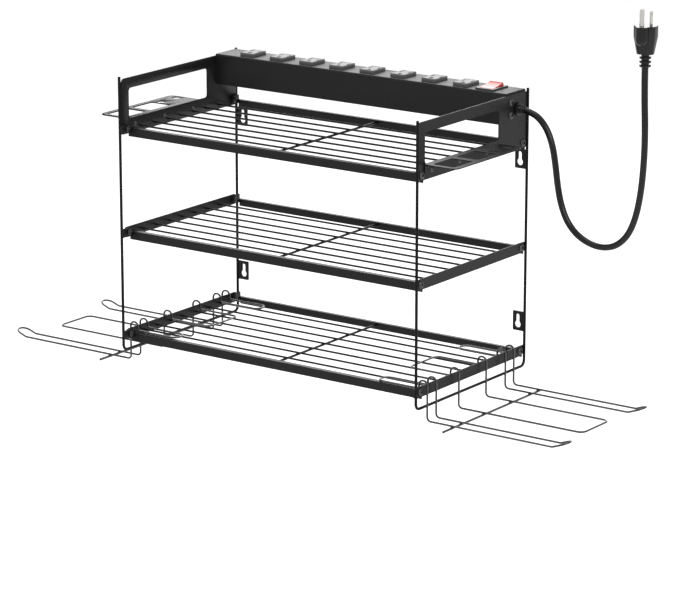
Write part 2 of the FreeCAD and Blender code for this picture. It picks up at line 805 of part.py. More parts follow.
def make_switch():
    """Frame of the switch and its rocker, tilted to one side."""
    top = strip_top
    y = switch_y
    pivot_z = top - pivot_below_top
    body_x = switch_width / 2 - bezel_lip
    body_y = switch_length / 2 - bezel_lip
    inner_half_x = body_x - switch_wall
    inner_half_y = body_y - switch_wall
    bezel = rounded_rectangle(
        Vector(switch_x - switch_width / 2, y - switch_length / 2, top),
        Vector(switch_x + switch_width / 2, y + switch_length / 2, 0), bezel_corner, "z", bezel_rise)
    x_range = (switch_x - body_x, switch_x + body_x)
    well = block(x_range, (y - body_y, y + body_y), (top - switch_depth, top + bezel_rise))
    hollow = block(
        (switch_x - inner_half_x, switch_x + inner_half_x),
        (y - inner_half_y, y + inner_half_y), (top - switch_depth + switch_wall, top + bezel_rise + past))
    bearing = rod(
        Vector(x_range[0] - past, y, pivot_z), Vector(x_range[1] + past, y, pivot_z),
        trunnion_dia + 2 * trunnion_clearance)
    save("switch_frame", bezel.fuse(well).removeSplitter().cut(hollow.fuse(bearing)))
    half_x = inner_half_x - rocker_gap
    radius = inner_half_y - rocker_gap
    profile = [
        Vector(switch_x - half_x, y - radius - past, pivot_z - rocker_below),
        Vector(switch_x - half_x, y + radius + past, pivot_z - rocker_below),
        Vector(switch_x - half_x, y + radius + past, pivot_z + rocker_crown),
        Vector(switch_x - half_x, y, pivot_z + rocker_valley),
        Vector(switch_x - half_x, y - radius - past, pivot_z + rocker_crown),
    ]
    body = prism(profile, [0] * 5, Vector(2 * half_x, 0, 0))
    disc = Part.makeCylinder(radius, 2 * half_x, Vector(switch_x - half_x, y, pivot_z), Vector(1, 0, 0))
    pin = rod(
        Vector(x_range[0] + trunnion_end_gap, y, pivot_z),
        Vector(x_range[1] - trunnion_end_gap, y, pivot_z), trunnion_dia)
    rocker = body.common(disc).fuse(pin).removeSplitter()
    rocker.rotate(Vector(switch_x, y, pivot_z), Vector(1, 0, 0), rocker_tilt)
    save("rocker_switch", rocker)


def relief_point(turn):
    """Centre of the strain relief after a turn in degrees from the plate."""
    angle = math.radians(turn)
    return Vector(
        outer_x + gland_flange + relief_bend * math.sin(angle), cord_exit_y,
        cord_exit_height - relief_bend * (1 - math.cos(angle)))


def make_cord():
    """Strain relief in the right plate, and the cord from there to the plug."""
    exit_y = cord_exit_y
    inside = Vector(strip_end - end_cap - gland_inside, exit_y, cord_exit_height)
    seat = Vector(outer_x, exit_y, cord_exit_height)
    flange_end = seat + Vector(gland_flange, 0, 0)
    gland = rod(inside, seat, gland_body - 2 * fit_gap).fuse(rod(seat, flange_end, gland_outer))
    step_turn = relief_turn / relief_steps
    rings = []
    for step in range(relief_steps):
        share = step / (relief_steps - 1)
        diameter = relief_start_dia + (relief_end_dia - relief_start_dia) * share
        arc = Part.Arc(
            relief_point(step * step_turn), relief_point((step + 0.5) * step_turn),
            relief_point((step + 1) * step_turn)).toShape()
        rings.append(swept([arc], diameter))
    save("cord_strain_relief", gland.fuse(rings).removeSplitter())
    points = [relief_point(relief_turn)] + [Vector(x, exit_y, z) for x, z in cord_route]
    radii = cord_radii(points)
    tube = bent_wire(points, radii, cord_dia)
    length = sum(edge.Length for edge in rounded_edges(points, radii, False))
    section = math.pi * cord_dia ** 2 / 4
    print(f"cord length {length:.1f}, volume {tube.Volume:.0f} against {section * length:.0f}")
    save("power_cord", tube)


def cord_radii(points):
    """Largest tangent arc at each corner of the route."""
    radii = [0.0]
    for index in range(1, len(points) - 1):
        back = points[index] - points[index - 1]
        ahead = points[index + 1] - points[index]
        turn = back.getAngle(ahead)
        radii.append(0.45 * min(back.Length, ahead.Length) / math.tan(turn / 2))
        print(f"corner {index}: turn {math.degrees(turn):.1f}, radius {radii[-1]:.1f}, run {back.Length:.1f}")
    radii.append(0.0)
    return radii


def plug_section(centre, z, width, thickness, corner):
    """Outline of the plug's body at one height."""
    outline = [
        Vector(centre.x + side_x * width / 2, centre.y + side_y * thickness / 2, z)
        for side_x, side_y in ((-1, -1), (1, -1), (1, 1), (-1, 1))
    ]
    return Part.Wire(rounded_edges(outline, [corner] * 4, True))


def plug_blade(centre, low, high):
    """Blade with a round tip and a hole near it."""
    x_range = (centre.x - blade_width / 2, centre.x + blade_width / 2)
    face = centre.y - blade_thickness / 2
    outline = [
        Vector(x_range[0], face, low),
        Vector(x_range[1], face, low),
        Vector(x_range[1], face, high),
        Vector(x_range[0], face, high),
    ]
    blade = prism(outline, [0, 0, blade_corner, blade_corner], Vector(0, blade_thickness, 0))
    z = high - blade_hole_below_tip
    start = Vector(centre.x, face - past, z)
    end = Vector(centre.x, face + blade_thickness + past, z)
    return blade.cut(rod(start, end, blade_hole))


def make_plug():
    """Plug on the cord's end, its pins upwards."""
    x, base = cord_route[-1]
    start = Vector(x, cord_exit_y, base)
    relief_top = base + plug_relief
    relief = Part.makeCone(plug_relief_low_dia / 2, plug_relief_dia / 2, plug_relief, start, Vector(0, 0, 1))
    body_high = relief_top + plug_height
    shoulder = body_high - plug_straight
    body = rounded_rectangle(
        Vector(x - plug_width / 2, start.y - plug_thickness / 2, shoulder),
        Vector(x + plug_width / 2, start.y + plug_thickness / 2, 0), plug_corner, "z", plug_straight)
    taper = Part.makeLoft([
        plug_section(start, relief_top, plug_end_width, plug_end_thickness, plug_end_corner),
        plug_section(start, shoulder, plug_width, plug_thickness, plug_corner)], True, True)
    pin_x = start.x - ground_offset
    rib_low = Vector(pin_x, start.y, body_high - plug_rib_length)
    rib = rod(rib_low, Vector(pin_x, start.y, body_high), plug_rib_dia)
    body = body.fuse([taper, rib, Part.makeSphere(plug_rib_dia / 2, rib_low)]).removeSplitter()
    pin_low = body_high - pin_root
    blades = []
    for side in (1, -1):
        centre = start + Vector(0, side * blade_spacing / 2, 0)
        blades.append(plug_blade(centre, pin_low, body_high + blade_length))
    tip = Vector(pin_x, start.y, body_high + ground_pin_length - ground_pin_dia / 2)
    ground = rod(Vector(pin_x, start.y, pin_low), tip, ground_pin_dia)
    ground = ground.fuse(Part.makeSphere(ground_pin_dia / 2, tip)).removeSplitter()
    body = body.cut(Part.makeCompound(blades + [ground]))
    for shape in [relief, body, ground] + blades:
        shape.rotate(start, Vector(0, 0, 1), plug_turn)
    save("plug_strain_relief", relief)
    save("plug_body", body)
    save("plug_blades", *blades)
    save("plug_ground_pin", ground)


def hook_loop(side, first_y, pitch, turned_up):
    """One hook: a closed wire with tails on the shelf, arches, legs and prongs."""
    last_y = first_y + pitch
    corner = pitch / 2 - least_flat if turned_up else wide_corner
    tail_z = shelf_z[2] + hook_wire / 2 + hook_gap
    arch_top = shelf_z[2] + bar_above_shelf + arch_rise
    prong_z = shelf_z[2] - leg_drop
    outer = outer_x + hook_side_gap + hook_wire / 2
    inner = outer - arch_width
    tail = inner - tail_length
    turn_x = half_width + prong_end
    rise = math.radians(tip_rise)
    arch_bend = arch_width / 2 - least_flat
    one_side = [
        (tail, tail_z, corner),
        (inner, tail_z, small_bend),
        (inner, arch_top, arch_bend),
        (outer, arch_top, arch_bend),
        (outer, prong_z, leg_bend),
    ]
    if turned_up:
        one_side.append((turn_x, prong_z, tip_bend))
        one_side.append((turn_x + tip_length * math.cos(rise), prong_z + tip_length * math.sin(rise), corner))
    else:
        one_side.append((turn_x, prong_z, corner))
    points = [Vector(x, first_y, z) for x, z, radius in one_side]
    points += [Vector(x, last_y, z) for x, z, radius in reversed(one_side)]
    radii = [radius for x, z, radius in one_side]
    radii += [radius for x, z, radius in reversed(one_side)]
    return mirrored(closed_wire(points, radii, hook_wire), side)


def make_hook_racks():
    """Three hooks and the wire that joins them, on each side."""
    rear_offset = frame_depth - rack_front[1] - rack_rear - narrow_hook
    middle_offset = (rear_offset + narrow_hook - wide_hook) / 2 + wide_hook_shift
    for side in (1, -1):
        name = side_names[side]
        first_y = front_y + rack_front[side]
        hooks = {
            "front": (first_y, narrow_hook, True),
            "middle": (first_y + middle_offset, wide_hook, False),
            "rear": (first_y + rear_offset, narrow_hook, True),
        }
        for place, (y, pitch, turned_up) in hooks.items():
            save(f"{name}_rack_{place}_hook", hook_loop(side, y, pitch, turned_up))
        x = half_width + rack_cross_x
        z = shelf_z[2] - leg_drop - hook_wire / 2 - cross_wire_dia / 2
        start = Vector(x, first_y - rack_cross_overhang, z)
        end = Vector(x, first_y + rear_offset + narrow_hook + rack_cross_overhang / 2, z)
        save(f"{name}_rack_cross_wire", mirrored(rod(start, end, cross_wire_dia), side))


os.makedirs("parts", exist_ok=True)
make_side_frames()
make_joints()
make_side_plates()
make_shelves()
make_keyhole_tabs()
make_tool_holders()
make_strip_housing()
make_outlets()
make_bus_bars()
make_switch()
make_cord()
make_plug()
make_hook_racks()
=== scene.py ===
"""Looks of a wall rack for power tools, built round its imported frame.

The classes hold their sizes in millimetres. A piece is shaped in millimetres at its place
in the frame, and Workpiece.release brings it to metres and seats it on its body.
"""
import logging
import math
from contextlib import contextmanager
from dataclasses import dataclass, field
from enum import Enum
from typing import Callable, Iterator, Sequence

import bmesh
import bpy
from mathutils import Matrix, Vector


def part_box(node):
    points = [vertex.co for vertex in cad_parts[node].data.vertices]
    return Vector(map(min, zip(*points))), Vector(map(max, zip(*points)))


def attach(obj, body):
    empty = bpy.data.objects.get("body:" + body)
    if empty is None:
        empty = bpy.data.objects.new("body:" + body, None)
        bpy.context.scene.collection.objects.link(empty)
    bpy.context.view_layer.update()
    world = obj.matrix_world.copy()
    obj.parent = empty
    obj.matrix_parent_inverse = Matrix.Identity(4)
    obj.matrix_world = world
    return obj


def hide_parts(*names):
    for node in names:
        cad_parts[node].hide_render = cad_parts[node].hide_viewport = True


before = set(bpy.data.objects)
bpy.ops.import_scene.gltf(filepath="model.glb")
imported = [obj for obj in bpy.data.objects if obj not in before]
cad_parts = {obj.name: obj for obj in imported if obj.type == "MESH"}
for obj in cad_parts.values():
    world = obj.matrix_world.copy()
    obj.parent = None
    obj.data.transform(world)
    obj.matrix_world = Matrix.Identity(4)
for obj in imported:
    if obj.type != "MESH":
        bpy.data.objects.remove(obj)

log = logging.getLogger("rack")

MM = 0.001
AXES = {"x": Vector((1, 0, 0)), "y": Vector((0, 1, 0)), "z": Vector((0, 0, 1))}
NEAR = 0.02
BEND_STEPS = 8
SIDES = {"right": 1, "left": -1}
SHELVES = ("top_shelf", "middle_shelf", "bottom_shelf")


class Pick(Enum):
    """Kind of mesh element that an operator acts on."""

    POINT = "VERT"
    EDGE = "EDGE"
    FACE = "FACE"


class Solver(Enum):
    """Ways to work out a boolean."""

    EXACT = "EXACT"
    MANIFOLD = "MANIFOLD"


class Body(Enum):
    """Bodies of the rack that move on their own."""

    FRAME = "frame"
    ROCKER = "rocker"
    RIGHT_RACK = "right_hook_rack"
    LEFT_RACK = "left_hook_rack"


@dataclass(frozen=True)
class Extent:
    """Lowest and highest corner of a CAD node, in millimetres."""

    low: Vector
    high: Vector

    @property
    def centre(self) -> Vector:
        """Middle of the box."""
        return (self.low + self.high) / 2

    @property
    def size(self) -> Vector:
        """Length of the box along each axis."""
        return self.high - self.low


def extent(node: str) -> Extent:
    """Box of a CAD node, in millimetres."""
    low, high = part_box(node)
    return Extent(low / MM, high / MM)


def near(a: float, b: float) -> bool:
    """True if two lengths are the same within the modelling tolerance."""
    return abs(a - b) < NEAR


def edge_on(planes: dict[str, float], along: str = "") -> Callable[[Vector, Vector], bool]:
    """Test that picks edges by where they lie.

    Args:
        planes: Place along each axis that both ends share.
        along: Axis that the edge runs along, or nothing for any.

    Returns:
        The test, which takes the edge's two ends.
    """
    def test(a: Vector, b: Vector) -> bool:
        """True if the edge lies as asked."""
        on_planes = all(near(getattr(end, axis), place) for end in (a, b) for axis, place in planes.items())
        return on_planes and (not along or abs((b - a).normalized().dot(AXES[along])) > 0.99)

    return test


class Signal:
    """A number socket of a material; Python's operators add Math nodes behind it."""

    def __init__(self, tree: bpy.types.NodeTree, socket: bpy.types.NodeSocket) -> None:
        """Wrap an output socket of a tree."""
        self.tree = tree
        self.socket = socket

    def _math(self, operation: str, left: "Signal | float", right: "Signal | float") -> "Signal":
        """Add one Math node.

        Args:
            operation: The node's operation.
            left: First value.
            right: Second value.

        Returns:
            The node's result.
        """
        node = self.tree.nodes.new("ShaderNodeMath")
        node.operation = operation
        for slot, value in zip(node.inputs, (left, right)):
            feed(self.tree, slot, value)
        return Signal(self.tree, node.outputs[0])

    def __add__(self, other: "Signal | float") -> "Signal":
        """Sum."""
        return self._math("ADD", self, other)

    def __radd__(self, other: float) -> "Signal":
        """Sum with a number on the left."""
        return self._math("ADD", other, self)

    def __sub__(self, other: "Signal | float") -> "Signal":
        """Difference."""
        return self._math("SUBTRACT", self, other)

    def __rsub__(self, other: float) -> "Signal":
        """Difference from a number on the left."""
        return self._math("SUBTRACT", other, self)

    def __mul__(self, other: "Signal | float") -> "Signal":
        """Product."""
        return self._math("MULTIPLY", self, other)

    def __rmul__(self, other: float) -> "Signal":
        """Product with a number on the left."""
        return self._math("MULTIPLY", other, self)

    def least(self, other: "Signal | float") -> "Signal":
        """Smaller of the two."""
        return self._math("MINIMUM", self, other)


def feed(tree: bpy.types.NodeTree, slot: bpy.types.NodeSocket, value: object) -> None:
    """Link a socket or a signal to an input, or set the input's value.

    Args:
        tree: Node tree that holds both.
        slot: Input socket.
        value: A Signal, an output socket, a number or a colour.
    """
    if isinstance(value, Signal):
        value = value.socket
    if isinstance(value, bpy.types.NodeSocket):
        tree.links.new(value, slot)
    else:
        slot.default_value = value


class Recipe:
    """Node tree of one material round a Principled shader."""

    def __init__(self, name: str) -> None:
        """Start an empty material.

        Args:
            name: Name of the material.
        """
        self.material = bpy.data.materials.new(name)
        self.material.use_nodes = True
        self.tree = self.material.node_tree
        self.tree.nodes.clear()
        self.shader = self.node("ShaderNodeBsdfPrincipled", {}, {})
        output = self.node("ShaderNodeOutputMaterial", {}, {"Surface": self.shader.outputs["BSDF"]})
        output.is_active_output = True
        self.place = self.node("ShaderNodeTexCoord", {}, {}).outputs["Object"]

    def node(
        self, kind: str, settings: dict[str, object], inputs: dict[str | int, object],
    ) -> bpy.types.Node:
        """Add a node.

        Args:
            kind: Type of the node.
            settings: Its own properties.
            inputs: Values or links of its sockets by name or number.

        Returns:
            The new node.
        """
        node = self.tree.nodes.new(kind)
        for key, value in settings.items():
            setattr(node, key, value)
        for key, value in inputs.items():
            feed(self.tree, node.inputs[key], value)
        return node

    def noise(self, feature: float, detail: float = 2.0, stretch: Sequence[float] = (1, 1, 1)) -> Signal:
        """Noise from 0 to 1 on the piece's own coordinates.

        Args:
            feature: Size of its patches in millimetres.
            detail: Octaves.
            stretch: Scale of the coordinates along each axis.

        Returns:
            The noise's value.
        """
        spot = self.node("ShaderNodeMapping", {}, {"Vector": self.place, "Scale": tuple(stretch)})
        noise = self.node("ShaderNodeTexNoise", {}, {
            "Vector": spot.outputs["Vector"], "Scale": 1 / (feature * MM), "Detail": detail,
            "Roughness": 0.55})
        return Signal(self.tree, noise.outputs["Fac"])

    def blend(self, low: Sequence[float], high: Sequence[float], share: Signal) -> bpy.types.NodeSocket:
        """Colour between two colours.

        Args:
            low: Colour where the share is 0.
            high: Colour where the share is 1.
            share: Where each shows.

        Returns:
            The mixed colour.
        """
        mix = self.node("ShaderNodeMix", {"data_type": "RGBA"}, {0: share, 6: (*low, 1), 7: (*high, 1)})
        return mix.outputs[2]

    def dress(self, values: dict[str, object]) -> None:
        """Set or link sockets of the shader."""
        for key, value in values.items():
            feed(self.tree, self.shader.inputs[key], value)

    def bump(self, height: Signal, depth: float) -> None:
        """Raise the surface by a height.

        Args:
            height: Value from 0 to 1.
            depth: Height in millimetres where the value is 1.
        """
        bump = self.node("ShaderNodeBump", {}, {"Strength": 1.0, "Distance": depth * MM, "Height": height})
        self.dress({"Normal": bump.outputs["Normal"]})


@dataclass(frozen=True)
class Finish:
    """A surface with a fine grain and a slow change of tone and gloss."""

    name: str
    slot: str
    dark: tuple[float, float, float]
    light: tuple[float, float, float]
    roughness: float
    gloss_change: float = 0.06
    grain: float = 1.0
    grain_depth: float = 0.02
    patch: float = 30.0
    metallic: float = 0.0
    coat: float = 0.0
    coat_roughness: float = 0.12
    fine_share: float = 0.35
    specular: float = 0.5
    stretch: tuple[float, float, float] = (1, 1, 1)

    def make(self) -> bpy.types.Material:
        """Build the material.

        Returns:
            The material, ready to assign.
        """
        recipe = Recipe(self.name)
        fine = recipe.noise(self.grain, 2.0, self.stretch)
        slow = recipe.noise(self.patch, 3.0, self.stretch)
        share = self.fine_share * fine + (1 - self.fine_share) * slow
        gloss = self.roughness + self.gloss_change * (slow - 0.5) + self.gloss_change * (fine - 0.5)
        recipe.dress({
            "Base Color": recipe.blend(self.dark, self.light, share),
            "Roughness": gloss,
            "Metallic": self.metallic,
            "Specular IOR Level": self.specular,
            "Coat Weight": self.coat,
            "Coat Roughness": self.coat_roughness,
        })
        recipe.bump(fine, self.grain_depth)
        return recipe.material


POWDER_COAT = Finish(
    "satin_powder_coat", "black_powder_coat", (0.008, 0.008, 0.0085), (0.014, 0.014, 0.015), 0.38,
    grain=0.9, grain_depth=0.03, patch=45.0, specular=0.17)
WIRE_COAT = Finish(
    "deep_powder_coat", "black_powder_coat", (0.004, 0.004, 0.0042), (0.007, 0.007, 0.0074), 0.42,
    grain=0.9, grain_depth=0.02, patch=45.0, specular=0.12)
HOOK_COAT = Finish(
    "gloss_black_coat", "black_hook_wire", (0.006, 0.006, 0.007), (0.012, 0.012, 0.013), 0.2,
    grain=1.4, grain_depth=0.015, coat=0.4)
BLACK_ZINC = Finish(
    "black_zinc", "black_fastener", (0.05, 0.05, 0.053), (0.09, 0.09, 0.095), 0.34,
    grain=0.5, grain_depth=0.008, patch=6.0, metallic=0.8)
STRIP_COAT = Finish(
    "fine_black_coat", "strip_housing", (0.01, 0.01, 0.0105), (0.017, 0.017, 0.018), 0.42,
    grain=0.7, grain_depth=0.025, patch=60.0, specular=0.17)
CAP_PLASTIC = Finish(
    "moulded_black", "strip_end_cap", (0.01, 0.01, 0.0105), (0.018, 0.018, 0.019), 0.45,
    grain=0.5, grain_depth=0.02, specular=0.2)
OUTLET_PLASTIC = Finish(
    "grey_moulding", "outlet_plastic", (0.085, 0.085, 0.088), (0.12, 0.12, 0.124), 0.4,
    grain=0.45, grain_depth=0.02, patch=9.0)
BEZEL_PLASTIC = Finish(
    "bezel_moulding", "switch_bezel", (0.02, 0.02, 0.021), (0.03, 0.03, 0.032), 0.38,
    grain=0.45, grain_depth=0.015)
RED_PLASTIC = Finish(
    "red_moulding", "red_rocker", (0.55, 0.02, 0.015), (0.68, 0.035, 0.025), 0.28,
    gloss_change=0.03, grain=2.0, grain_depth=0.01, coat=0.3)
BRASS = Finish(
    "brass", "brass_contact", (0.5, 0.36, 0.14), (0.62, 0.46, 0.2), 0.3,
    grain=0.3, grain_depth=0.005, patch=12.0, metallic=1.0, stretch=(0.2, 1, 1))
NICKEL = Finish(
    "nickel_plate", "plug_pins", (0.48, 0.47, 0.45), (0.62, 0.61, 0.58), 0.22,
    grain=0.35, grain_depth=0.004, patch=5.0, metallic=1.0, stretch=(1, 1, 0.15))
VINYL = Finish(
    "black_vinyl", "cord_vinyl", (0.004, 0.004, 0.0042), (0.008, 0.008, 0.0085), 0.3,
    grain=0.8, grain_depth=0.01, patch=14.0, specular=0.16, coat=0.25)


class Wardrobe:
    """Materials of the rack, each made once."""

    made: dict[str, bpy.types.Material] = {}

    @classmethod
    def get(cls, finish: Finish) -> bpy.types.Material:
        """Material of a finish."""
        if finish.name not in cls.made:
            cls.made[finish.name] = finish.make()
        return cls.made[finish.name]


class Workpiece:
    """One mesh on the bench, in millimetres, shaped with the modelling operators."""

    def __init__(self, obj: bpy.types.Object) -> None:
        """Take an object in hand."""
        self.obj = obj

    @classmethod
    def block(cls, low: Sequence[float], high: Sequence[float]) -> "Workpiece":
        """Box between two corners.

        Args:
            low: Lowest corner.
            high: Highest corner.

        Returns:
            The new piece.
        """
        low, high = Vector(low), Vector(high)
        clear_selection()
        bpy.ops.mesh.primitive_cube_add(size=1, location=(low + high) / 2)
        piece = cls(bpy.context.object)
        piece.obj.scale = high - low
        piece.settle()
        return piece

    @classmethod
    def peg(cls, start: Vector, end: Vector, diameter: float, sides: int = 40) -> "Workpiece":
        """Round bar between two points.

        Args:
            start: Centre of one end.
            end: Centre of the other end.
            diameter: Its diameter.
            sides: Faces round it.

        Returns:
            The new piece.
        """
        axis = end - start
        clear_selection()
        bpy.ops.mesh.primitive_cylinder_add(
            vertices=sides, radius=diameter / 2, depth=axis.length, location=(start + end) / 2,
            rotation=axis.to_track_quat("Z", "Y").to_euler())
        piece = cls(bpy.context.object)
        piece.settle()
        return piece

    @classmethod
    def slug(cls, low: Sequence[float], high: Sequence[float], radius: float, along: str) -> "Workpiece":
        """Box whose edges along one axis are round.

        Args:
            low: Lowest corner.
            high: Highest corner.
            radius: Radius of the round edges.
            along: Axis of the round edges.

        Returns:
            The new piece.
        """
        piece = cls.block(low, high)
        piece.round_edges(edge_on({}, along), radius, 6)
        return piece

    @classmethod
    def turned(
        cls, profile: Sequence[tuple[float, float]], base: Vector, axis: Vector, steps: int = 32,
    ) -> "Workpiece":
        """Piece turned round an axis.

        Args:
            profile: Radius and height of each point of half its outline.
            base: Where height 0 lies.
            axis: Direction of the heights.
            steps: Faces round it.

        Returns:
            The new piece.
        """
        piece = cls.outline([Vector((radius, 0, height)) for radius, height in profile])
        with piece.editing(Pick.POINT, "SELECT"):
            bpy.ops.mesh.spin(steps=steps, angle=math.tau, center=(0, 0, 0), axis=(0, 0, 1))
        piece.close()
        piece.obj.data.transform(Matrix.Translation(base) @ axis.to_track_quat("Z", "Y").to_matrix().to_4x4())
        return piece

    @classmethod
    def outline(cls, points: Sequence[Vector], closed: bool = False) -> "Workpiece":
        """Chain of edges through points.

        Args:
            points: Its points in order.
            closed: Whether the last point joins the first.

        Returns:
            The new piece.
        """
        clear_selection()
        bpy.ops.mesh.primitive_plane_add(size=1)
        piece = cls(bpy.context.object)
        with piece.editing(Pick.POINT, "SELECT"):
            bpy.ops.mesh.merge(type="CENTER")
            bpy.ops.transform.translate(value=points[0])
            for start, end in zip(points, points[1:]):
                bpy.ops.mesh.extrude_region_move(TRANSFORM_OT_translate={"value": end - start})
        if closed:
            ends = (points[0], points[-1])
            with piece.picked(Pick.POINT, lambda co: any(near((co - end).length, 0) for end in ends)):
                bpy.ops.mesh.edge_face_add()
        return piece

    @classmethod
    def wire(
        cls, points: Sequence[Vector], radii: Sequence[float], diameter: float,
        closed: bool = False, sides: int = 5,
    ) -> "Workpiece":
        """Round wire bent at its corners.

        Args:
            points: Corners of its centre line.
            radii: Bend radius at each corner, or 0 at a free end.
            diameter: Its diameter.
            closed: Whether its ends are joined.
            sides: Smoothness of its round section.

        Returns:
            The new piece.
        """
        piece = cls.outline(points, closed)
        count = len(points)
        for index, (point, radius) in enumerate(zip(points, radii)):
            if radius:
                back = points[index - 1] - point
                ahead = points[(index + 1) % count] - point
                reach = radius / math.tan(back.angle(ahead) / 2)
                with piece.picked(Pick.POINT, lambda co, spot=point: near((co - spot).length, 0)):
                    bpy.ops.mesh.bevel(
                        offset=reach, segments=BEND_STEPS, profile=0.5, affect="VERTICES",
                        clamp_overlap=False)
        activate(piece.obj)
        bpy.ops.object.convert(target="CURVE")
        curve = piece.obj.data
        curve.bevel_depth = diameter / 2
        curve.bevel_resolution = sides
        curve.use_fill_caps = True
        bpy.ops.object.convert(target="MESH")
        piece.close()
        return piece

    @classmethod
    def sweep(cls, path: Sequence[Vector], radii: Sequence[float], sides: int = 8) -> "Workpiece":
        """Round skin along a path, with its own radius at each point.

        Args:
            path: Points of the centre line.
            radii: Radius at each point.
            sides: Smoothness of its round section.

        Returns:
            The new piece.
        """
        curve = round_curve("sweep", "POLY", path, 1.0, sides)
        for point, radius in zip(curve.splines[0].points, radii):
            point.radius = radius
        activate(put("sweep", curve))
        bpy.ops.object.convert(target="MESH")
        piece = cls(bpy.context.object)
        piece.close()
        return piece

    def settle(self) -> None:
        """Move the object's place, turn and scale into its mesh."""
        activate(self.obj)
        bpy.ops.object.transform_apply(location=True, rotation=True, scale=True)

    @contextmanager
    def editing(self, pick: Pick, selection: str = "DESELECT") -> Iterator[bmesh.types.BMesh]:
        """Edit mode with nothing selected, or with everything for SELECT."""
        activate(self.obj)
        bpy.ops.object.mode_set(mode="EDIT")
        bpy.ops.mesh.select_mode(type=pick.value)
        bpy.ops.mesh.select_all(action=selection)
        yield bmesh.from_edit_mesh(self.obj.data)
        bpy.ops.object.mode_set(mode="OBJECT")

    @contextmanager
    def picked(self, pick: Pick, test: Callable[..., bool]) -> Iterator[None]:
        """Edit mode with the elements selected that a test picks.

        Args:
            pick: Kind of element.
            test: Takes a point's place, an edge's ends, or a face's centre and normal.
        """
        with self.editing(pick) as mesh:
            if pick is Pick.POINT:
                chosen = [vert for vert in mesh.verts if test(vert.co)]
            elif pick is Pick.EDGE:
                chosen = [edge for edge in mesh.edges if test(edge.verts[0].co, edge.verts[1].co)]
            else:
                chosen = [face for face in mesh.faces if test(face.calc_center_median(), face.normal)]
            for element in chosen:
                element.select_set(True)
            mesh.select_flush_mode()
            bmesh.update_edit_mesh(self.obj.data)
            yield

    def extrude(self, test: Callable[[Vector, Vector], bool], shift: Sequence[float]) -> None:
        """Draw faces out along a shift."""
        with self.picked(Pick.FACE, test):
            bpy.ops.mesh.extrude_region_move(TRANSFORM_OT_translate={"value": shift})

    def inset(self, test: Callable[[Vector, Vector], bool], width: float, depth: float) -> None:
        """Inset faces and push them in or out."""
        with self.picked(Pick.FACE, test):
            bpy.ops.mesh.inset(thickness=width, depth=depth, use_even_offset=True)

    def round_edges(self, test: Callable[[Vector, Vector], bool], radius: float, segments: int = 4) -> None:
        """Round the edges that a test picks by their ends."""
        with self.picked(Pick.EDGE, test):
            bpy.ops.mesh.bevel(
                offset=radius, segments=segments, profile=0.5, affect="EDGES", clamp_overlap=True)

    def split(self, place: Sequence[float], normal: Sequence[float], clear: bool = False) -> None:
        """Cut the mesh along a plane.

        Args:
            place: A point of the plane.
            normal: Its normal.
            clear: Whether what lies on the normal's side goes, and the cut is closed.
        """
        with self.editing(Pick.FACE, "SELECT"):
            bpy.ops.mesh.bisect(plane_co=place, plane_no=normal, use_fill=clear, clear_outer=clear)

    def shift_points(self, test: Callable[[Vector], bool], shift: Sequence[float]) -> None:
        """Move the points that a test picks."""
        with self.picked(Pick.POINT, test):
            bpy.ops.transform.translate(value=shift)

    def scale_points(self, test: Callable[[Vector], bool], factor: Sequence[float], centre: Vector) -> None:
        """Scale the points that a test picks about a centre."""
        with self.picked(Pick.POINT, test):
            bpy.ops.transform.resize(value=factor, center_override=centre)

    def modify(self, kind: str, settings: dict[str, object]) -> None:
        """Add a modifier and apply it.

        Args:
            kind: Type of the modifier.
            settings: Its properties.
        """
        activate(self.obj)
        modifier = self.obj.modifiers.new(kind.lower(), kind)
        for key, value in settings.items():
            setattr(modifier, key, value)
        bpy.ops.object.modifier_apply(modifier=modifier.name)

    def cut(self, cutters: Sequence["Workpiece"], solver: Solver = Solver.EXACT) -> "Workpiece":
        """Take other pieces out of this one."""
        return self.combine(cutters, "DIFFERENCE", solver)

    def add(self, others: Sequence["Workpiece"]) -> "Workpiece":
        """Grow other pieces onto this one."""
        return self.combine(others, "UNION", Solver.EXACT)

    def combine(self, others: Sequence["Workpiece"], operation: str, solver: Solver) -> "Workpiece":
        """Boolean of this piece with others, which are used up.

        Args:
            others: The other pieces.
            operation: Name of the boolean.
            solver: How it is worked out.

        Returns:
            This piece.
        """
        for other in others:
            self.modify("BOOLEAN", {"operation": operation, "solver": solver.value, "object": other.obj})
            bpy.data.objects.remove(other.obj)
        return self

    def close(self) -> None:
        """Merge doubles and turn the faces outwards."""
        with self.editing(Pick.POINT, "SELECT"):
            bpy.ops.mesh.remove_doubles(threshold=0.002)
            bpy.ops.mesh.normals_make_consistent(inside=False)

    def soften(self, width: float, segments: int = 2) -> "Workpiece":
        """Round all sharp edges a little and shade the piece smooth.

        Args:
            width: Width of the rounding.
            segments: Faces across it.

        Returns:
            This piece.
        """
        self.modify("BEVEL", {
            "width": width, "segments": segments, "limit_method": "ANGLE", "angle_limit": math.radians(32),
            "miter_outer": "MITER_ARC"})
        return self.smooth()

    def smooth(self, angle: float = 40.0) -> "Workpiece":
        """Shade the piece smooth below an angle, with flat faces kept flat."""
        activate(self.obj)
        bpy.ops.object.shade_smooth_by_angle(angle=math.radians(angle))
        self.modify("WEIGHTED_NORMAL", {"weight": 80, "keep_sharp": True})
        return self

    def copy(self, shift: Sequence[float] = (0, 0, 0)) -> "Workpiece":
        """Copy with its own mesh, moved by a shift."""
        twin = self.obj.copy()
        twin.data = self.obj.data.copy()
        bpy.context.scene.collection.objects.link(twin)
        twin.data.transform(Matrix.Translation(Vector(shift)))
        return Workpiece(twin)

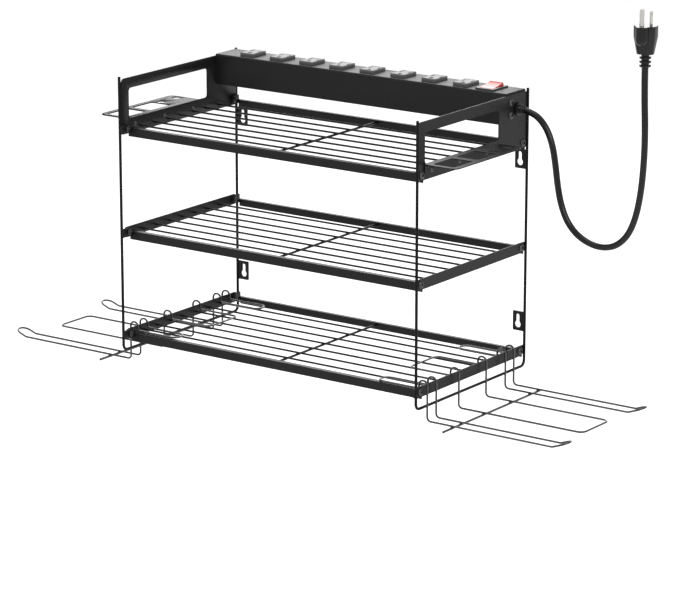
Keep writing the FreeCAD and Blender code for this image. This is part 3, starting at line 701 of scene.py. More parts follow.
    def mirrored(self, shift: Sequence[float] = (0, 0, 0)) -> "Workpiece":
        """Copy on the other side of the rack's middle plane, moved by a shift."""
        twin = self.copy(shift)
        twin.obj.data.transform(Matrix.Scale(-1, 4, AXES["x"]))
        with twin.editing(Pick.FACE, "SELECT"):
            bpy.ops.mesh.flip_normals()
        return twin

    def join(self, others: Sequence["Workpiece"]) -> "Workpiece":
        """Put separate pieces in one object."""
        clear_selection()
        for other in others:
            other.obj.select_set(True)
        self.obj.select_set(True)
        bpy.context.view_layer.objects.active = self.obj
        bpy.ops.object.join()
        return self

    def release(
        self, name: str, finish: Finish, nodes: Sequence[str] = (), body: Body = Body.FRAME,
    ) -> bpy.types.Object:
        """Bring the piece to metres, dress it and seat it on its body.

        Args:
            name: Name of the piece.
            finish: Its finish.
            nodes: CAD nodes that it stands for.
            body: Body that it moves with.

        Returns:
            The finished object.
        """
        self.obj.data.transform(Matrix.Scale(MM, 4))
        self.obj.name = name
        self.obj.data.name = name
        return seat(self.obj, finish, nodes, body)

    def release_pair(
        self, name: str, finish: Finish, node: str = "",
        bodies: tuple[Body, Body] = (Body.FRAME, Body.FRAME), shift: Sequence[float] = (0, 0, 0),
    ) -> None:
        """Release the piece on the right, and its mirror image on the left.

        Args:
            name: Name of the piece after its side.
            finish: Its finish.
            node: Name after its side of the CAD node that it stands for, or nothing.
            bodies: Bodies that the right and the left piece move with.
            shift: Move of the left piece, before it is mirrored.
        """
        left = self.mirrored(shift)
        for side, piece, body in zip(SIDES, (self, left), bodies):
            piece.release(f"{side}_{name}", finish, [f"{side}_{node}"] if node else [], body)


def seat(obj: bpy.types.Object, finish: Finish, nodes: Sequence[str], body: Body) -> bpy.types.Object:
    """Dress an object and put it on its body in place of CAD nodes.

    Args:
        obj: Mesh or curve, in metres.
        finish: Its finish.
        nodes: CAD nodes that it stands for.
        body: Body that it moves with.

    Returns:
        The object.
    """
    obj.data.materials.clear()
    obj.data.materials.append(Wardrobe.get(finish))
    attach(obj, body.value)
    if nodes:
        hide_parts(*nodes)
    log.info("%s on %s, for %s", obj.name, body.value, ", ".join(nodes) or "no node")
    return obj


def put(name: str, data: bpy.types.ID) -> bpy.types.Object:
    """New object in the scene that shows some data."""
    obj = bpy.data.objects.new(name, data)
    bpy.context.scene.collection.objects.link(obj)
    return obj


def round_curve(
    name: str, kind: str, path: Sequence[Sequence[float]], radius: float, sides: int,
) -> bpy.types.Curve:
    """Round curve along a path, closed at its ends.

    Args:
        name: Name of the curve.
        kind: Type of its spline.
        path: Points of the spline.
        radius: Radius of its section.
        sides: Smoothness of its section.

    Returns:
        The curve, not yet in the scene.
    """
    curve = bpy.data.curves.new(name, "CURVE")
    curve.dimensions = "3D"
    spline = curve.splines.new(kind)
    spline.points.add(len(path) - 1)
    for point, place in zip(spline.points, path):
        point.co = (*place, 1)
    curve.bevel_depth = radius
    curve.bevel_resolution = sides
    curve.use_fill_caps = True
    return curve


def clear_selection() -> None:
    """Deselect everything."""
    for obj in bpy.context.selected_objects:
        obj.select_set(False)


def activate(obj: bpy.types.Object) -> None:
    """Select one object alone and make it the active one."""
    clear_selection()
    obj.select_set(True)
    bpy.context.view_layer.objects.active = obj


def paint(node: str, finish: Finish) -> None:
    """Give a CAD node that stays its finish."""
    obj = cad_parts[node]
    if not obj.material_slots:
        obj.data.materials.append(None)
    for slot in obj.material_slots:
        slot.material = Wardrobe.get(finish)
    log.info("%s keeps its shape, in %s", node, finish.name)


@dataclass
class SideFrames:
    """Bent round wire of each side."""

    wire: float = 3.5
    bend: float = 7.0

    def build(self) -> None:
        """Make both frames."""
        for side in SIDES:
            node = f"{side}_frame_wire"
            box = extent(node)
            half = self.wire / 2
            front, rear = box.low.y + half, box.high.y - half
            x, foot = box.centre.x, box.low.z + half
            points = [
                Vector((x, front, box.high.z)), Vector((x, front, foot)),
                Vector((x, rear, foot)), Vector((x, rear, box.high.z))]
            piece = Workpiece.wire(points, [0, self.bend, self.bend, 0], self.wire, sides=7)
            piece.smooth(50).release(f"{side}_bent_frame", WIRE_COAT, [node])


@dataclass
class Fasteners:
    """Bolts, nuts and weld tabs at the corners of the shelves, and their weld beads."""

    head: float = 9.0
    head_height: float = 2.6
    head_edge: tuple[float, float] = (0.1, 0.12)
    head_rim: float = 0.55
    head_steps: int = 6
    head_softness: float = 0.1
    shank: float = 4.0
    shank_chamfer: float = 0.4
    shank_end: float = 7.7
    socket: float = 3.4
    socket_depth: float = 1.5
    flats: float = 7.0
    nut_height: float = 3.2
    nut_softness: float = 0.35
    nut_play: float = 0.1
    tab_length: float = 12.0
    tab_height: float = 11.0
    tab_corner: float = 4.8
    tab_softness: float = 0.25
    tab_play: float = 0.2
    sheet: float = 2.0
    side_sheet: float = 1.5
    wire: float = 3.5
    past_upright: float = 1.0
    below_shelf: float = 0.25
    bead: float = 1.7
    bead_past_upright: float = 0.7
    bead_inset: float = 2.0
    bead_steps: int = 36
    bead_taper: float = 0.35
    ripple: float = 0.12
    ripple_count: int = 7

    def levels(self) -> list[float]:
        """Height of the bolts of each shelf."""
        return [extent(f"{shelf}_front_rail").high.z - self.below_shelf for shelf in SHELVES]

    def spots(self) -> list[tuple[int, float, float, int]]:
        """Side, Y and Z of each bolt, and the way from its upright to it."""
        bolts = extent("frame_bolts")
        rows = ((bolts.low.y + self.head / 2, 1), (bolts.high.y - self.head / 2, -1))
        return [
            (side, y, z, heading) for z in self.levels() for side in SIDES.values() for y, heading in rows]

    def upright(self, heading: int) -> float:
        """Y of the centre line of the front upright (1) or the rear upright (-1)."""
        box = extent("right_frame_wire")
        return box.low.y + self.wire / 2 if heading > 0 else box.high.y - self.wire / 2

    def domed_head(self, seat_place: Vector) -> Workpiece:
        """Pan head with a hexagon socket on a shank, along +X.

        Args:
            seat_place: Centre of the head's underside.

        Returns:
            The bolt.
        """
        radius, shank = self.head / 2, self.shank / 2
        rim, chamfer = self.head_rim, self.shank_chamfer
        inset, rise = self.head_edge
        profile = [
            (0.0, -self.shank_end), (shank - chamfer, -self.shank_end), (shank, chamfer - self.shank_end),
            (shank, 0.0), (radius - inset, 0.0), (radius, rise), (radius, rim)]
        for step in range(1, self.head_steps + 1):
            angle = math.pi / 2 * step / self.head_steps
            profile.append((radius * math.cos(angle), rim + (self.head_height - rim) * math.sin(angle)))
        profile[-1] = (0.0, self.head_height)
        bolt = Workpiece.turned(profile, seat_place, AXES["x"])
        top = seat_place + Vector((self.head_height, 0, 0))
        corners = self.socket / math.cos(math.pi / 6)
        socket = Workpiece.peg(top - Vector((self.socket_depth, 0, 0)), top + AXES["x"], corners, sides=6)
        return bolt.cut([socket]).soften(self.head_softness)

    def nut(self, face: float, y: float, z: float) -> Workpiece:
        """Hexagon nut whose face lies on a tab, along X.

        Args:
            face: X of the tab's inner face.
            y: Y of its bore.
            z: Z of its bore.

        Returns:
            The nut.
        """
        corners = self.flats / math.cos(math.pi / 6)
        start, end = Vector((face - self.nut_height, y, z)), Vector((face, y, z))
        nut = Workpiece.peg(start, end, corners, sides=6)
        bore = Workpiece.peg(start - AXES["x"], end + AXES["x"], self.shank + self.nut_play)
        return nut.cut([bore]).soften(self.nut_softness)

    def tab(self, inner: float, y: float, z: float, heading: int) -> Workpiece:
        """Tab from an upright to its bolt.

        Args:
            inner: X of the side bars' inner face.
            y: Y of the bolt.
            z: Z of the bolt.
            heading: Way from the upright to the bolt.

        Returns:
            The tab.
        """
        upright = self.upright(heading)
        start = upright - heading * self.past_upright
        end = upright + heading * (self.wire / 2 + self.tab_length)
        half = self.tab_height / 2
        piece = Workpiece.block(
            (inner - self.sheet, min(start, end), z - half), (inner, max(start, end), z + half))
        piece.round_edges(edge_on({"y": end}, "x"), self.tab_corner, 8)
        bore = self.shank + self.tab_play
        hole = Workpiece.peg(Vector((inner - 5, y, z)), Vector((inner + 5, y, z)), bore)
        return piece.cut([hole]).soften(self.tab_softness)

    def bead_line(self, inner: float, y: float, z: float) -> Workpiece:
        """Weld bead along an upright, with the ripples of a run of small pools.

        Args:
            inner: X of the side bars' inner face.
            y: Y of the corner that it fills.
            z: Middle of its height.

        Returns:
            The bead.
        """
        length = self.tab_height - self.bead_inset
        profile = [(0.0, 0.0)]
        for step in range(1, self.bead_steps):
            share = step / self.bead_steps
            taper = math.sin(math.pi * share) ** self.bead_taper
            ripple = 1 + self.ripple * math.cos(share * math.tau * self.ripple_count)
            profile.append((self.bead / 2 * taper * ripple, length * share))
        profile.append((0.0, length))
        return Workpiece.turned(profile, Vector((inner, y, z - length / 2)), AXES["z"], 14)

    def build(self) -> None:
        """Make the bolts, nuts, tabs and beads."""
        plate = extent("right_side_plate")
        outer, inner = plate.high.x, plate.high.x - self.side_sheet
        first = self.spots()[0]
        bolt = self.domed_head(Vector((outer, first[1], first[2])))
        nut = self.nut(inner - self.sheet, first[1], first[2])
        groups: dict[str, list[Workpiece]] = {"bolts": [], "nuts": [], "tabs": [], "beads": []}
        for side, y, z, heading in self.spots():
            shift = (0, y - first[1], z - first[2])
            bead_y = self.upright(heading) - heading * self.bead_past_upright
            made = {
                "bolts": bolt.copy(shift),
                "nuts": nut.copy(shift),
                "tabs": self.tab(inner, y, z, heading),
                "beads": self.bead_line(inner, bead_y, z),
            }
            for key, piece in made.items():
                if side < 0:
                    right, piece = piece, piece.mirrored()
                    bpy.data.objects.remove(right.obj)
                groups[key].append(piece)
        for leftover in (bolt, nut):
            bpy.data.objects.remove(leftover.obj)
        rows = (
            ("bolts", "pan_head_bolts", BLACK_ZINC, ["frame_bolts"]),
            ("nuts", "hexagon_nuts", BLACK_ZINC, ["frame_nuts"]),
            ("tabs", "upright_tabs", POWDER_COAT, ["weld_tabs"]),
            ("beads", "weld_beads", POWDER_COAT, []),
        )
        for key, name, finish, nodes in rows:
            whole = groups[key][0].join(groups[key][1:])
            if key == "beads":
                whole.smooth(60)
            whole.release(name, finish, nodes)


@dataclass
class Shelves:
    """Folded rails, round wires and flat side bars of the three shelves."""

    sheet: float = 1.5
    bend: float = 2.2
    wire: float = 2.5
    wire_count: int = 7
    wire_end: float = 0.35
    bar_end: float = 6.7
    edge: float = 0.3

    def rail(self, node: str, heading: int) -> Workpiece:
        """Rail folded to an L.

        Args:
            node: CAD node of the rail.
            heading: Way from its face to its flange along Y.

        Returns:
            The rail.
        """
        box = extent(node)
        face, tip = (box.low.y, box.high.y) if heading > 0 else (box.high.y, box.low.y)
        back = face + heading * self.sheet
        under = box.high.z - self.sheet
        piece = Workpiece.block(
            (box.low.x, min(face, back), box.low.z), (box.high.x, max(face, back), box.high.z))
        piece.split((0, 0, under), (0, 0, 1))
        piece.extrude(
            lambda centre, normal: normal.y * heading > 0.9 and centre.z > under, (0, tip - back, 0))
        piece.round_edges(edge_on({"y": face, "z": box.high.z}), self.bend, 5)
        piece.round_edges(edge_on({"y": back, "z": under}), self.bend - self.sheet, 3)
        return piece.soften(self.edge)

    def wires(self, node: str) -> Workpiece:
        """Wires along a shelf, each with its ends nipped.

        Args:
            node: CAD node of the wires.

        Returns:
            All the wires as one piece.
        """
        box = extent(node)
        half = self.wire / 2
        pitch = (box.size.y - self.wire) / (self.wire_count - 1)
        z = box.centre.z
        y = box.low.y + half
        stations = [
            (box.low.x, half - self.wire_end), (box.low.x + self.wire_end, half), (0.0, half),
            (box.high.x - self.wire_end, half), (box.high.x, half - self.wire_end)]
        path = [Vector((x, y, z)) for x, radius in stations]
        first = Workpiece.sweep(path, [radius for x, radius in stations], sides=5).smooth(50)
        rest = [first.copy((0, pitch * index, 0)) for index in range(1, self.wire_count)]
        return first.join(rest)

    def side_bar(self, node: str) -> Workpiece:
        """Flat bar with round ends.

        Args:
            node: CAD node of the bar.

        Returns:
            The bar.
        """
        box = extent(node)
        piece = Workpiece.slug(box.low, box.high, self.bar_end, "x")
        return piece.soften(self.edge)

    def build(self) -> None:
        """Make the three shelves."""
        for shelf in SHELVES:
            for place, heading in (("front", 1), ("rear", -1)):
                node = f"{shelf}_{place}_rail"
                self.rail(node, heading).release(f"{shelf}_folded_{place}", POWDER_COAT, [node])
            self.wires(f"{shelf}_wires").release(f"{shelf}_round_wires", POWDER_COAT, [f"{shelf}_wires"])
        for shelf in SHELVES[1:]:
            for side in SIDES:
                node = f"{shelf}_{side}_bar"
                self.side_bar(node).release(f"{shelf}_{side}_flat_bar", POWDER_COAT, [node])
        paint("shelf_cross_bars", POWDER_COAT)


@dataclass
class SidePlates:
    """Flat plates of the top shelf, cut out in the middle."""

    corner: float = 3.0
    front_corner: float = 6.0
    window_front: float = 14.25
    window_rear: float = 60.0
    window_bottom: float = 19.0
    window_top: float = 13.5
    window_corner: float = 4.0
    edge: float = 0.35

    def plate(self) -> Workpiece:
        """Right plate."""
        box = extent("right_side_plate")
        piece = Workpiece.block(box.low, box.high)
        front_top = edge_on({"y": box.low.y, "z": box.high.z}, "x")
        piece.round_edges(lambda a, b: abs(a.x - b.x) > 1 and not front_top(a, b), self.corner, 6)
        piece.round_edges(front_top, self.front_corner, 8)
        window = Workpiece.slug(
            (box.low.x - 1, box.low.y + self.window_front, box.low.z + self.window_bottom),
            (box.high.x + 1, box.high.y - self.window_rear, box.high.z - self.window_top),
            self.window_corner, "x")
        return piece.cut([window]).soften(self.edge)

    def build(self) -> None:
        """Make both plates."""
        self.plate().release_pair("flat_plate", POWDER_COAT, "side_plate")


@dataclass
class ToolHolders:
    """Shelf outside each plate with slots and round holes, and its rivets."""

    sheet: float = 1.5
    corner: float = 8.0
    slot_width: float = 30.0
    slot_inset: float = 7.0
    slot_length: float = 40.0
    first_slot: float = 6.0
    slot_gap: float = 9.0
    slot_corner: float = 3.0
    hole: float = 12.0
    first_hole: float = 102.0
    hole_pitch: float = 31.0
    hole_inset: float = 16.0
    rivet_head: float = 6.0
    rivet_height: float = 1.2
    rivet_shank: float = 3.2
    inner_head: tuple[tuple[float, float], ...] = ((1.3, 1.2), (2.3, 0.8), (2.9, 0.3))
    outer_head: tuple[tuple[float, float], ...] = (
        (2.9, 0.35), (2.3, 0.85), (1.3, 1.2), (0.8, 1.2), (0.6, 0.7), (0.0, 0.7))
    fold_corner: float = 2.5
    edge: float = 0.35

    def holder(self) -> Workpiece:
        """Right holder."""
        box = extent("right_tool_holder")
        under = box.high.z - self.sheet
        fold = box.low.x + self.sheet
        piece = Workpiece.block((box.low.x, box.low.y, under), box.high)
        piece.split((fold, 0, 0), (1, 0, 0))
        piece.extrude(lambda centre, normal: normal.z < -0.9 and centre.x < fold, (0, 0, box.low.z - under))
        piece.round_edges(edge_on({"x": box.high.x}, "z"), self.corner, 8)
        piece.round_edges(edge_on({"z": box.low.z}, "x"), self.fold_corner, 5)
        cutters = []
        right = box.high.x - self.slot_inset
        below, above = under - 1, box.high.z + 1
        for index in range(2):
            start = box.low.y + self.first_slot + (self.slot_length + self.slot_gap) * index
            cutters.append(Workpiece.slug(
                (right - self.slot_width, start, below), (right, start + self.slot_length, above),
                self.slot_corner, "z"))
            y = box.low.y + self.first_hole + self.hole_pitch * index
            x = box.high.x - self.hole_inset
            cutters.append(Workpiece.peg(Vector((x, y, below)), Vector((x, y, above)), self.hole, 48))
        return piece.cut(cutters).soften(self.edge)

    def rivet(self, inside: Vector, length: float) -> Workpiece:
        """Rivet through two sheets along X, with a dimple in its outer head.

        Args:
            inside: Centre of its inner head's seat.
            length: Thickness of what it holds.

        Returns:
            The rivet.
        """
        radius, shank = self.rivet_head / 2, self.rivet_shank / 2
        profile = [(0.0, -self.rivet_height)]
        profile += [(distance, -height) for distance, height in self.inner_head]
        profile += [(radius, 0.0), (shank, 0.0), (shank, length), (radius, length)]
        profile += [(distance, length + height) for distance, height in self.outer_head]
        return Workpiece.turned(profile, inside, AXES["x"], 28).smooth(35)

    def build(self) -> None:
        """Make both holders and their rivets."""
        self.holder().release_pair("slotted_holder", POWDER_COAT, "tool_holder")
        rivets = extent("holder_rivets")
        inside = extent("right_side_plate").high.x - self.sheet
        front, rear = rivets.low.y + self.rivet_head / 2, rivets.high.y - self.rivet_head / 2
        first = self.rivet(Vector((inside, front, rivets.centre.z)), 2 * self.sheet)
        row = [first] + [first.copy((0, shift, 0)) for shift in ((rear - front) / 2, rear - front)]
        both = row + [piece.mirrored() for piece in row]
        both[0].join(both[1:]).release("dimpled_rivets", BLACK_ZINC, ["holder_rivets"])


@dataclass
class WallTabs:
    """Tabs with keyholes beside the rear uprights."""

    hole_x: float = 210.0
    beside_hole: float = 7.0
    below_hole: float = 8.0
    round_hole: float = 8.5
    slot: float = 5.0
    rise: float = 13.0
    corner: float = 1.2
    edge: float = 0.35

    def tab(self, node: str) -> Workpiece:
        """Right tab of a node.

        Args:
            node: CAD node that holds the tabs of both sides.

        Returns:
            The right tab.
        """
        box = extent(node)
        z = box.low.z + self.below_hole
        front, back = box.low.y - 1, box.high.y + 1
        x, half = self.hole_x, self.slot / 2
        inner = x - self.beside_hole
        piece = Workpiece.block((inner, box.low.y, box.low.z), box.high)
        piece.round_edges(edge_on({"x": inner}, "y"), self.corner, 4)
        hole = Workpiece.peg(Vector((x, front, z)), Vector((x, back, z)), self.round_hole, 48)
        slot = Workpiece.slug(
            (x - half, front - 1, z), (x + half, back + 1, z + self.rise), half - NEAR, "y")
        return piece.cut([hole, slot]).soften(self.edge)

    def build(self) -> None:
        """Make the four tabs."""
        for row in ("upper", "lower"):
            node = f"{row}_keyhole_tabs"
            right = self.tab(node)
            right.join([right.mirrored()]).release(f"{row}_wall_tabs", POWDER_COAT, [node])


@dataclass
class PowerStrip:
    """Folded cover with its outlets, switch and end screws."""

    wall: float = 2.0
    corner: float = 2.0
    edge: float = 0.3
    moulded_edge: float = 0.2
    gap: float = 0.1
    outlet_count: int = 8
    outlet_width: float = 21.0
    outlet_depth: float = 28.0
    outlet_corner: float = 2.0
    rim: float = 1.1
    face_inset: float = 1.3
    face_depth: float = 0.35
    slot_depth: float = 9.0
    blade_spacing: float = 12.7
    blade_slot: float = 8.0
    neutral_slot: float = 8.6
    slot_width: float = 2.0
    pattern_shift: float = 5.0
    ground_offset: float = 11.9
    ground_hole: float = 5.4
    bezel_lip: float = 2.0
    bezel_rise: float = 2.0
    bezel_corner: float = 2.0
    bezel_edge: float = 0.9
    well_overlap: float = 0.5
    well_corner: float = 0.6
    switch_wall: float = 1.8
    rocker_gap: float = 0.4
    rocker_tilt: float = 10.0
    rocker_crown: float = 5.3
    rocker_dish: float = 1.9
    rocker_below: float = 7.0
    valley_round: float = 9.0
    rocker_edge: float = 0.5
    pivot_below_top: float = 1.0
    trunnion: float = 4.0
    screw_tip_gap: float = 1.0

    def cover(self) -> Workpiece:
        """Cover, open below, with its openings."""
        box = extent("strip_cover")
        piece = Workpiece.block(box.low, box.high)
        piece.round_edges(edge_on({"z": box.high.z}, "x"), self.corner, 5)
        wall = Vector((0, self.wall, 0))
        ceiling = Vector((box.high.x + 1, box.high.y, box.high.z - self.wall))
        cutters = [Workpiece.block(box.low + wall - Vector((1, 0, 1)), ceiling - wall)]
        half = Vector((self.outlet_width / 2 + self.gap, self.outlet_depth / 2 + self.gap, 3))
        for index in range(self.outlet_count):
            centre = extent(f"outlet_{index + 1}").centre
            centre.z = box.high.z
            cutters.append(Workpiece.block(centre - half, centre + half))
        switch = extent("switch_frame")
        middle = Vector((switch.centre.x, switch.centre.y, box.high.z))
        lip = self.bezel_lip - self.gap
        half = Vector((switch.size.x / 2 - lip, switch.size.y / 2 - lip, 3))
        cutters.append(Workpiece.block(middle - half, middle + half))
        return piece.cut(cutters).soften(self.edge)

    def outlet(self, box: Extent) -> Workpiece:
        """Outlet block with two blade slots and a ground hole.

        Args:
            box: Box of its CAD node.

        Returns:
            The outlet.
        """
        x, y = box.centre.x, box.centre.y
        half_x, half_y = self.outlet_width / 2, self.outlet_depth / 2
        top = box.high.z
        piece = Workpiece.slug(
            (x - half_x, y - half_y, box.low.z), (x + half_x, y + half_y, top), self.outlet_corner, "z")

        def on_top(centre: Vector, normal: Vector) -> bool:
            """True for the faces of the outlet's top."""
            return normal.z > 0.9 and near(centre.z, top)

        def on_rim(co: Vector) -> bool:
            """True for the outer points of the top."""
            return near(co.z, top) and max(abs(co.x - x) - half_x, abs(co.y - y) - half_y) > -self.rim / 2

        piece.inset(on_top, self.rim, 0.0)
        piece.shift_points(on_rim, (0, 0, -self.rim))
        piece.inset(
            lambda centre, normal: on_top(centre, normal) and abs(centre.x - x) < 1,
            self.face_inset, -self.face_depth)
        blades_y = y + self.pattern_shift
        floor = top - self.slot_depth
        cutters = []
        for side, length in ((1, self.blade_slot), (-1, self.neutral_slot)):
            centre = x + side * self.blade_spacing / 2
            cutters.append(Workpiece.block(
                (centre - self.slot_width / 2, blades_y - length / 2, floor),
                (centre + self.slot_width / 2, blades_y + length / 2, top + 1)))
        ground_y = blades_y - self.ground_offset
        cutters.append(Workpiece.peg(
            Vector((x, ground_y, floor)), Vector((x, ground_y, top + 1)), self.ground_hole, 32))
        return piece.cut(cutters, Solver.MANIFOLD).soften(self.moulded_edge)

    def bezel(self) -> Workpiece:
        """Frame of the switch with its well."""
        box = extent("switch_frame")
        x, y = box.centre.x, box.centre.y
        deck = box.high.z - self.bezel_rise
        body_x = box.size.x / 2 - self.bezel_lip
        body_y = box.size.y / 2 - self.bezel_lip
        piece = Workpiece.slug((box.low.x, box.low.y, deck), box.high, self.bezel_corner, "z")
        piece.round_edges(edge_on({"z": box.high.z}), self.bezel_edge, 3)
        well = Workpiece.block(
            (x - body_x, y - body_y, box.low.z), (x + body_x, y + body_y, deck + self.well_overlap))
        inner_x, inner_y = body_x - self.switch_wall, body_y - self.switch_wall
        hollow = Workpiece.slug(
            (x - inner_x, y - inner_y, box.low.z + self.switch_wall),
            (x + inner_x, y + inner_y, box.high.z + 1), self.well_corner, "z")
        return piece.add([well]).cut([hollow]).soften(self.moulded_edge)

    def rocker(self) -> Workpiece:
        """Rocker with a dished top, tilted to one side."""
        box = extent("switch_frame")
        x, y = box.centre.x, box.centre.y
        deck = box.high.z - self.bezel_rise
        pivot = deck - self.pivot_below_top
        half_x = box.size.x / 2 - self.bezel_lip - self.switch_wall - self.rocker_gap
        radius = box.size.y / 2 - self.bezel_lip - self.switch_wall - self.rocker_gap
        piece = Workpiece.peg(Vector((x - half_x, y, pivot)), Vector((x + half_x, y, pivot)), 2 * radius, 96)
        crown = pivot + self.rocker_crown
        piece.split((x, y, crown), (0, 0, 1), clear=True)
        piece.split((x, y, pivot - self.rocker_below), (0, 0, -1), clear=True)
        piece.split((x, y, 0), (0, 1, 0))
        piece.shift_points(lambda co: near(co.y, y) and near(co.z, crown), (0, 0, -self.rocker_dish))
        valley = edge_on({"y": y})
        piece.round_edges(lambda a, b: valley(a, b) and min(a.z, b.z) > pivot, self.valley_round, 10)
        half = extent("rocker_switch").size.x / 2
        pin = Workpiece.peg(Vector((x - half, y, pivot)), Vector((x + half, y, pivot)), self.trunnion, 32)
        piece.soften(self.rocker_edge, 3)
        piece.join([pin])
        centre = Vector((x, y, pivot))
        turn = Matrix.Rotation(math.radians(self.rocker_tilt), 4, "X")
        piece.obj.data.transform(Matrix.Translation(centre) @ turn @ Matrix.Translation(-centre))
        return piece

    def screws(self) -> Workpiece:
        """Screws through the side plates into the end caps."""
        box = extent("strip_screws")
        tip = extent("strip_right_end_cap").low.x + self.screw_tip_gap
        head = Fasteners(shank_end=box.high.x - Fasteners.head_height - tip)
        outer = extent("right_side_plate").high.x
        y = box.centre.y
        heights = (box.high.z - head.head / 2, box.low.z + head.head / 2)
        first = head.domed_head(Vector((outer, y, heights[0])))
        second = first.copy((0, 0, heights[1] - heights[0]))
        return first.join([second, first.mirrored(), second.mirrored()])

    def build(self) -> None:
        """Make the strip."""
        self.cover().release("folded_cover", STRIP_COAT, ["strip_cover"])
        first = extent("outlet_1")
        model = self.outlet(first)
        for index in range(1, self.outlet_count):
            node = f"outlet_{index + 1}"
            shift = extent(node).centre - first.centre
            model.copy(shift).release(f"outlet_block_{index + 1}", OUTLET_PLASTIC, [node])
        model.release("outlet_block_1", OUTLET_PLASTIC, ["outlet_1"])
        self.bezel().release("switch_bezel", BEZEL_PLASTIC, ["switch_frame"])
        self.rocker().release("dished_rocker", RED_PLASTIC, ["rocker_switch"], Body.ROCKER)
        self.screws().release("end_screws", BLACK_ZINC, ["strip_screws"])
        for side in SIDES:
            paint(f"strip_{side}_end_cap", CAP_PLASTIC)
        paint("strip_base", STRIP_COAT)
        for bar in ("live_bar", "neutral_bar", "ground_bar"):
            paint(bar, BRASS)


@dataclass
class CordAndPlug:
    """Power cord with its strain relief at the plate, and the plug on its end."""

    diameter: float = 8.0
    length: float = 455.5
    relief_bend: float = 45.0
    relief_turn: float = 10.0
    flange: float = 3.0
    flange_dia: float = 16.0
    collar_dia: float = 11.8
    flange_round: float = 0.3
    flange_slope: float = 0.6
    relief_dias: tuple[float, float] = (11.6, 9.4)
    rib_count: int = 3
    rib_steps: int = 8
    rib_depth: float = 0.55
    plug_turn: float = 98.0
    plug_size: tuple[float, float] = (21.0, 27.0)
    plug_end: tuple[float, float] = (16.0, 20.5)
    plug_corner: float = 7.4
    plug_straight: float = 13.0
    plug_rib: float = 15.0
    plug_rib_length: float = 15.4
    plug_rib_steps: int = 8
    plug_edge: float = 0.7
    plug_rings: int = 3
    ring_dias: tuple[float, float] = (14.0, 9.2)
    ring_start: float = 0.12
    ring_share: float = 0.62
    ring_spare: float = 0.3
    ring_slope: float = 0.9
    ring_crown: float = 0.2
    ring_shoulder: float = 0.5
    blade: tuple[float, float] = (6.35, 1.5)
    blade_spacing: float = 12.7
    pin_spread: float = 11.9
    blade_corner: float = 2.0
    blade_edge: float = 0.25
    blade_hole: float = 3.0
    blade_hole_below_tip: float = 4.5
    ground_dia: float = 4.8
    route: list[tuple[float, float, float]] = field(default_factory=lambda: [
        (0.23056, -0.02375, 0.17082),
        (0.2386, -0.02375, 0.1694),
        (0.2486, -0.02375, 0.1652),
        (0.2576, -0.02375, 0.1570),
        (0.2650, -0.02375, 0.1456),
        (0.2708, -0.02375, 0.1290),
        (0.2746, -0.02375, 0.1080),
        (0.2778, -0.02375, 0.0850),
        (0.2824, -0.02375, 0.0645),
        (0.2908, -0.02375, 0.0445),
        (0.3046, -0.02375, 0.0294),
        (0.3226, -0.02375, 0.0206),
        (0.3422, -0.02375, 0.0180),
        (0.3608, -0.02375, 0.0232),
        (0.3762, -0.02375, 0.0378),
        (0.3862, -0.02375, 0.0605),
        (0.3924, -0.02375, 0.0910),
        (0.3956, -0.02375, 0.1260),
        (0.3964, -0.02375, 0.1650),
        (0.3941, -0.02375, 0.2120),
        (0.3941, -0.02375, 0.2418),
    ])

    def cord(self) -> bpy.types.Object:
        """Cord as one smooth curve along its route."""
        curve = round_curve("cord_sheath", "NURBS", self.route, self.diameter / 2 * MM, 8)
        spline = curve.splines[0]
        spline.order_u = 3
        spline.use_endpoint_u = True
        spline.resolution_u = 12
        return seat(put("cord_sheath", curve), VINYL, ["power_cord"], Body.FRAME)

    def strain_relief(self) -> Workpiece:
        """Ribbed taper that bends down from the plate."""
        plate = extent("right_side_plate").high.x
        inside = extent("cord_strain_relief").low.x
        exit_place = Vector(self.route[0]) / MM
        angle = math.radians(self.relief_turn)
        height = exit_place.z + self.relief_bend * (1 - math.cos(angle))
        y = exit_place.y
        start = plate + self.flange
        collar, flange = self.collar_dia / 2, self.flange_dia / 2
        stations = [
            (inside, collar), (plate, collar), (plate + 0.01, flange - self.flange_round),
            (plate + self.flange_round, flange), (start - self.flange_slope, flange),
            (start - 0.1, flange - self.flange_slope)]
        path = [Vector((x, y, height)) for x, radius in stations]
        radii = [radius for x, radius in stations]
        steps = self.rib_count * self.rib_steps
        wide, narrow = self.relief_dias
        for step in range(steps + 1):
            share = step / steps
            turn = angle * share
            drop = self.relief_bend * (1 - math.cos(turn))
            path.append(Vector((start + self.relief_bend * math.sin(turn), y, height - drop)))
            taper = wide + (narrow - wide) * share
            groove = 0.0
            if 0 < step < steps:
                groove = self.rib_depth * max(0.0, math.cos(share * self.rib_count * math.tau)) ** 3
            radii.append(taper / 2 - groove)
        return Workpiece.sweep(path, radii, 9).smooth(45)

    def plug_relief(self, foot: Vector) -> Workpiece:
        """Rings between the cord and the plug.

        Args:
            foot: Centre of the relief's lower end.

        Returns:
            The relief.
        """
        height = extent("plug_strain_relief").size.z
        outer, inner = (diameter / 2 for diameter in self.ring_dias)
        pitch = height / (self.plug_rings + self.ring_spare)
        slope, crown = outer - self.ring_slope, outer - self.ring_crown
        profile = [(0.0, 0.0), (inner, 0.0)]
        for ring in range(self.plug_rings):
            low = pitch * (ring + self.ring_start)
            top = low + pitch * self.ring_share
            profile += [
                (inner, low), (slope, low), (crown, low + self.ring_shoulder), (outer, (low + top) / 2),
                (crown, top - self.ring_shoulder), (slope, top), (inner, top)]
        profile += [(inner, height), (0.0, height)]
        return Workpiece.turned(profile, foot, AXES["z"], 40).smooth(40)

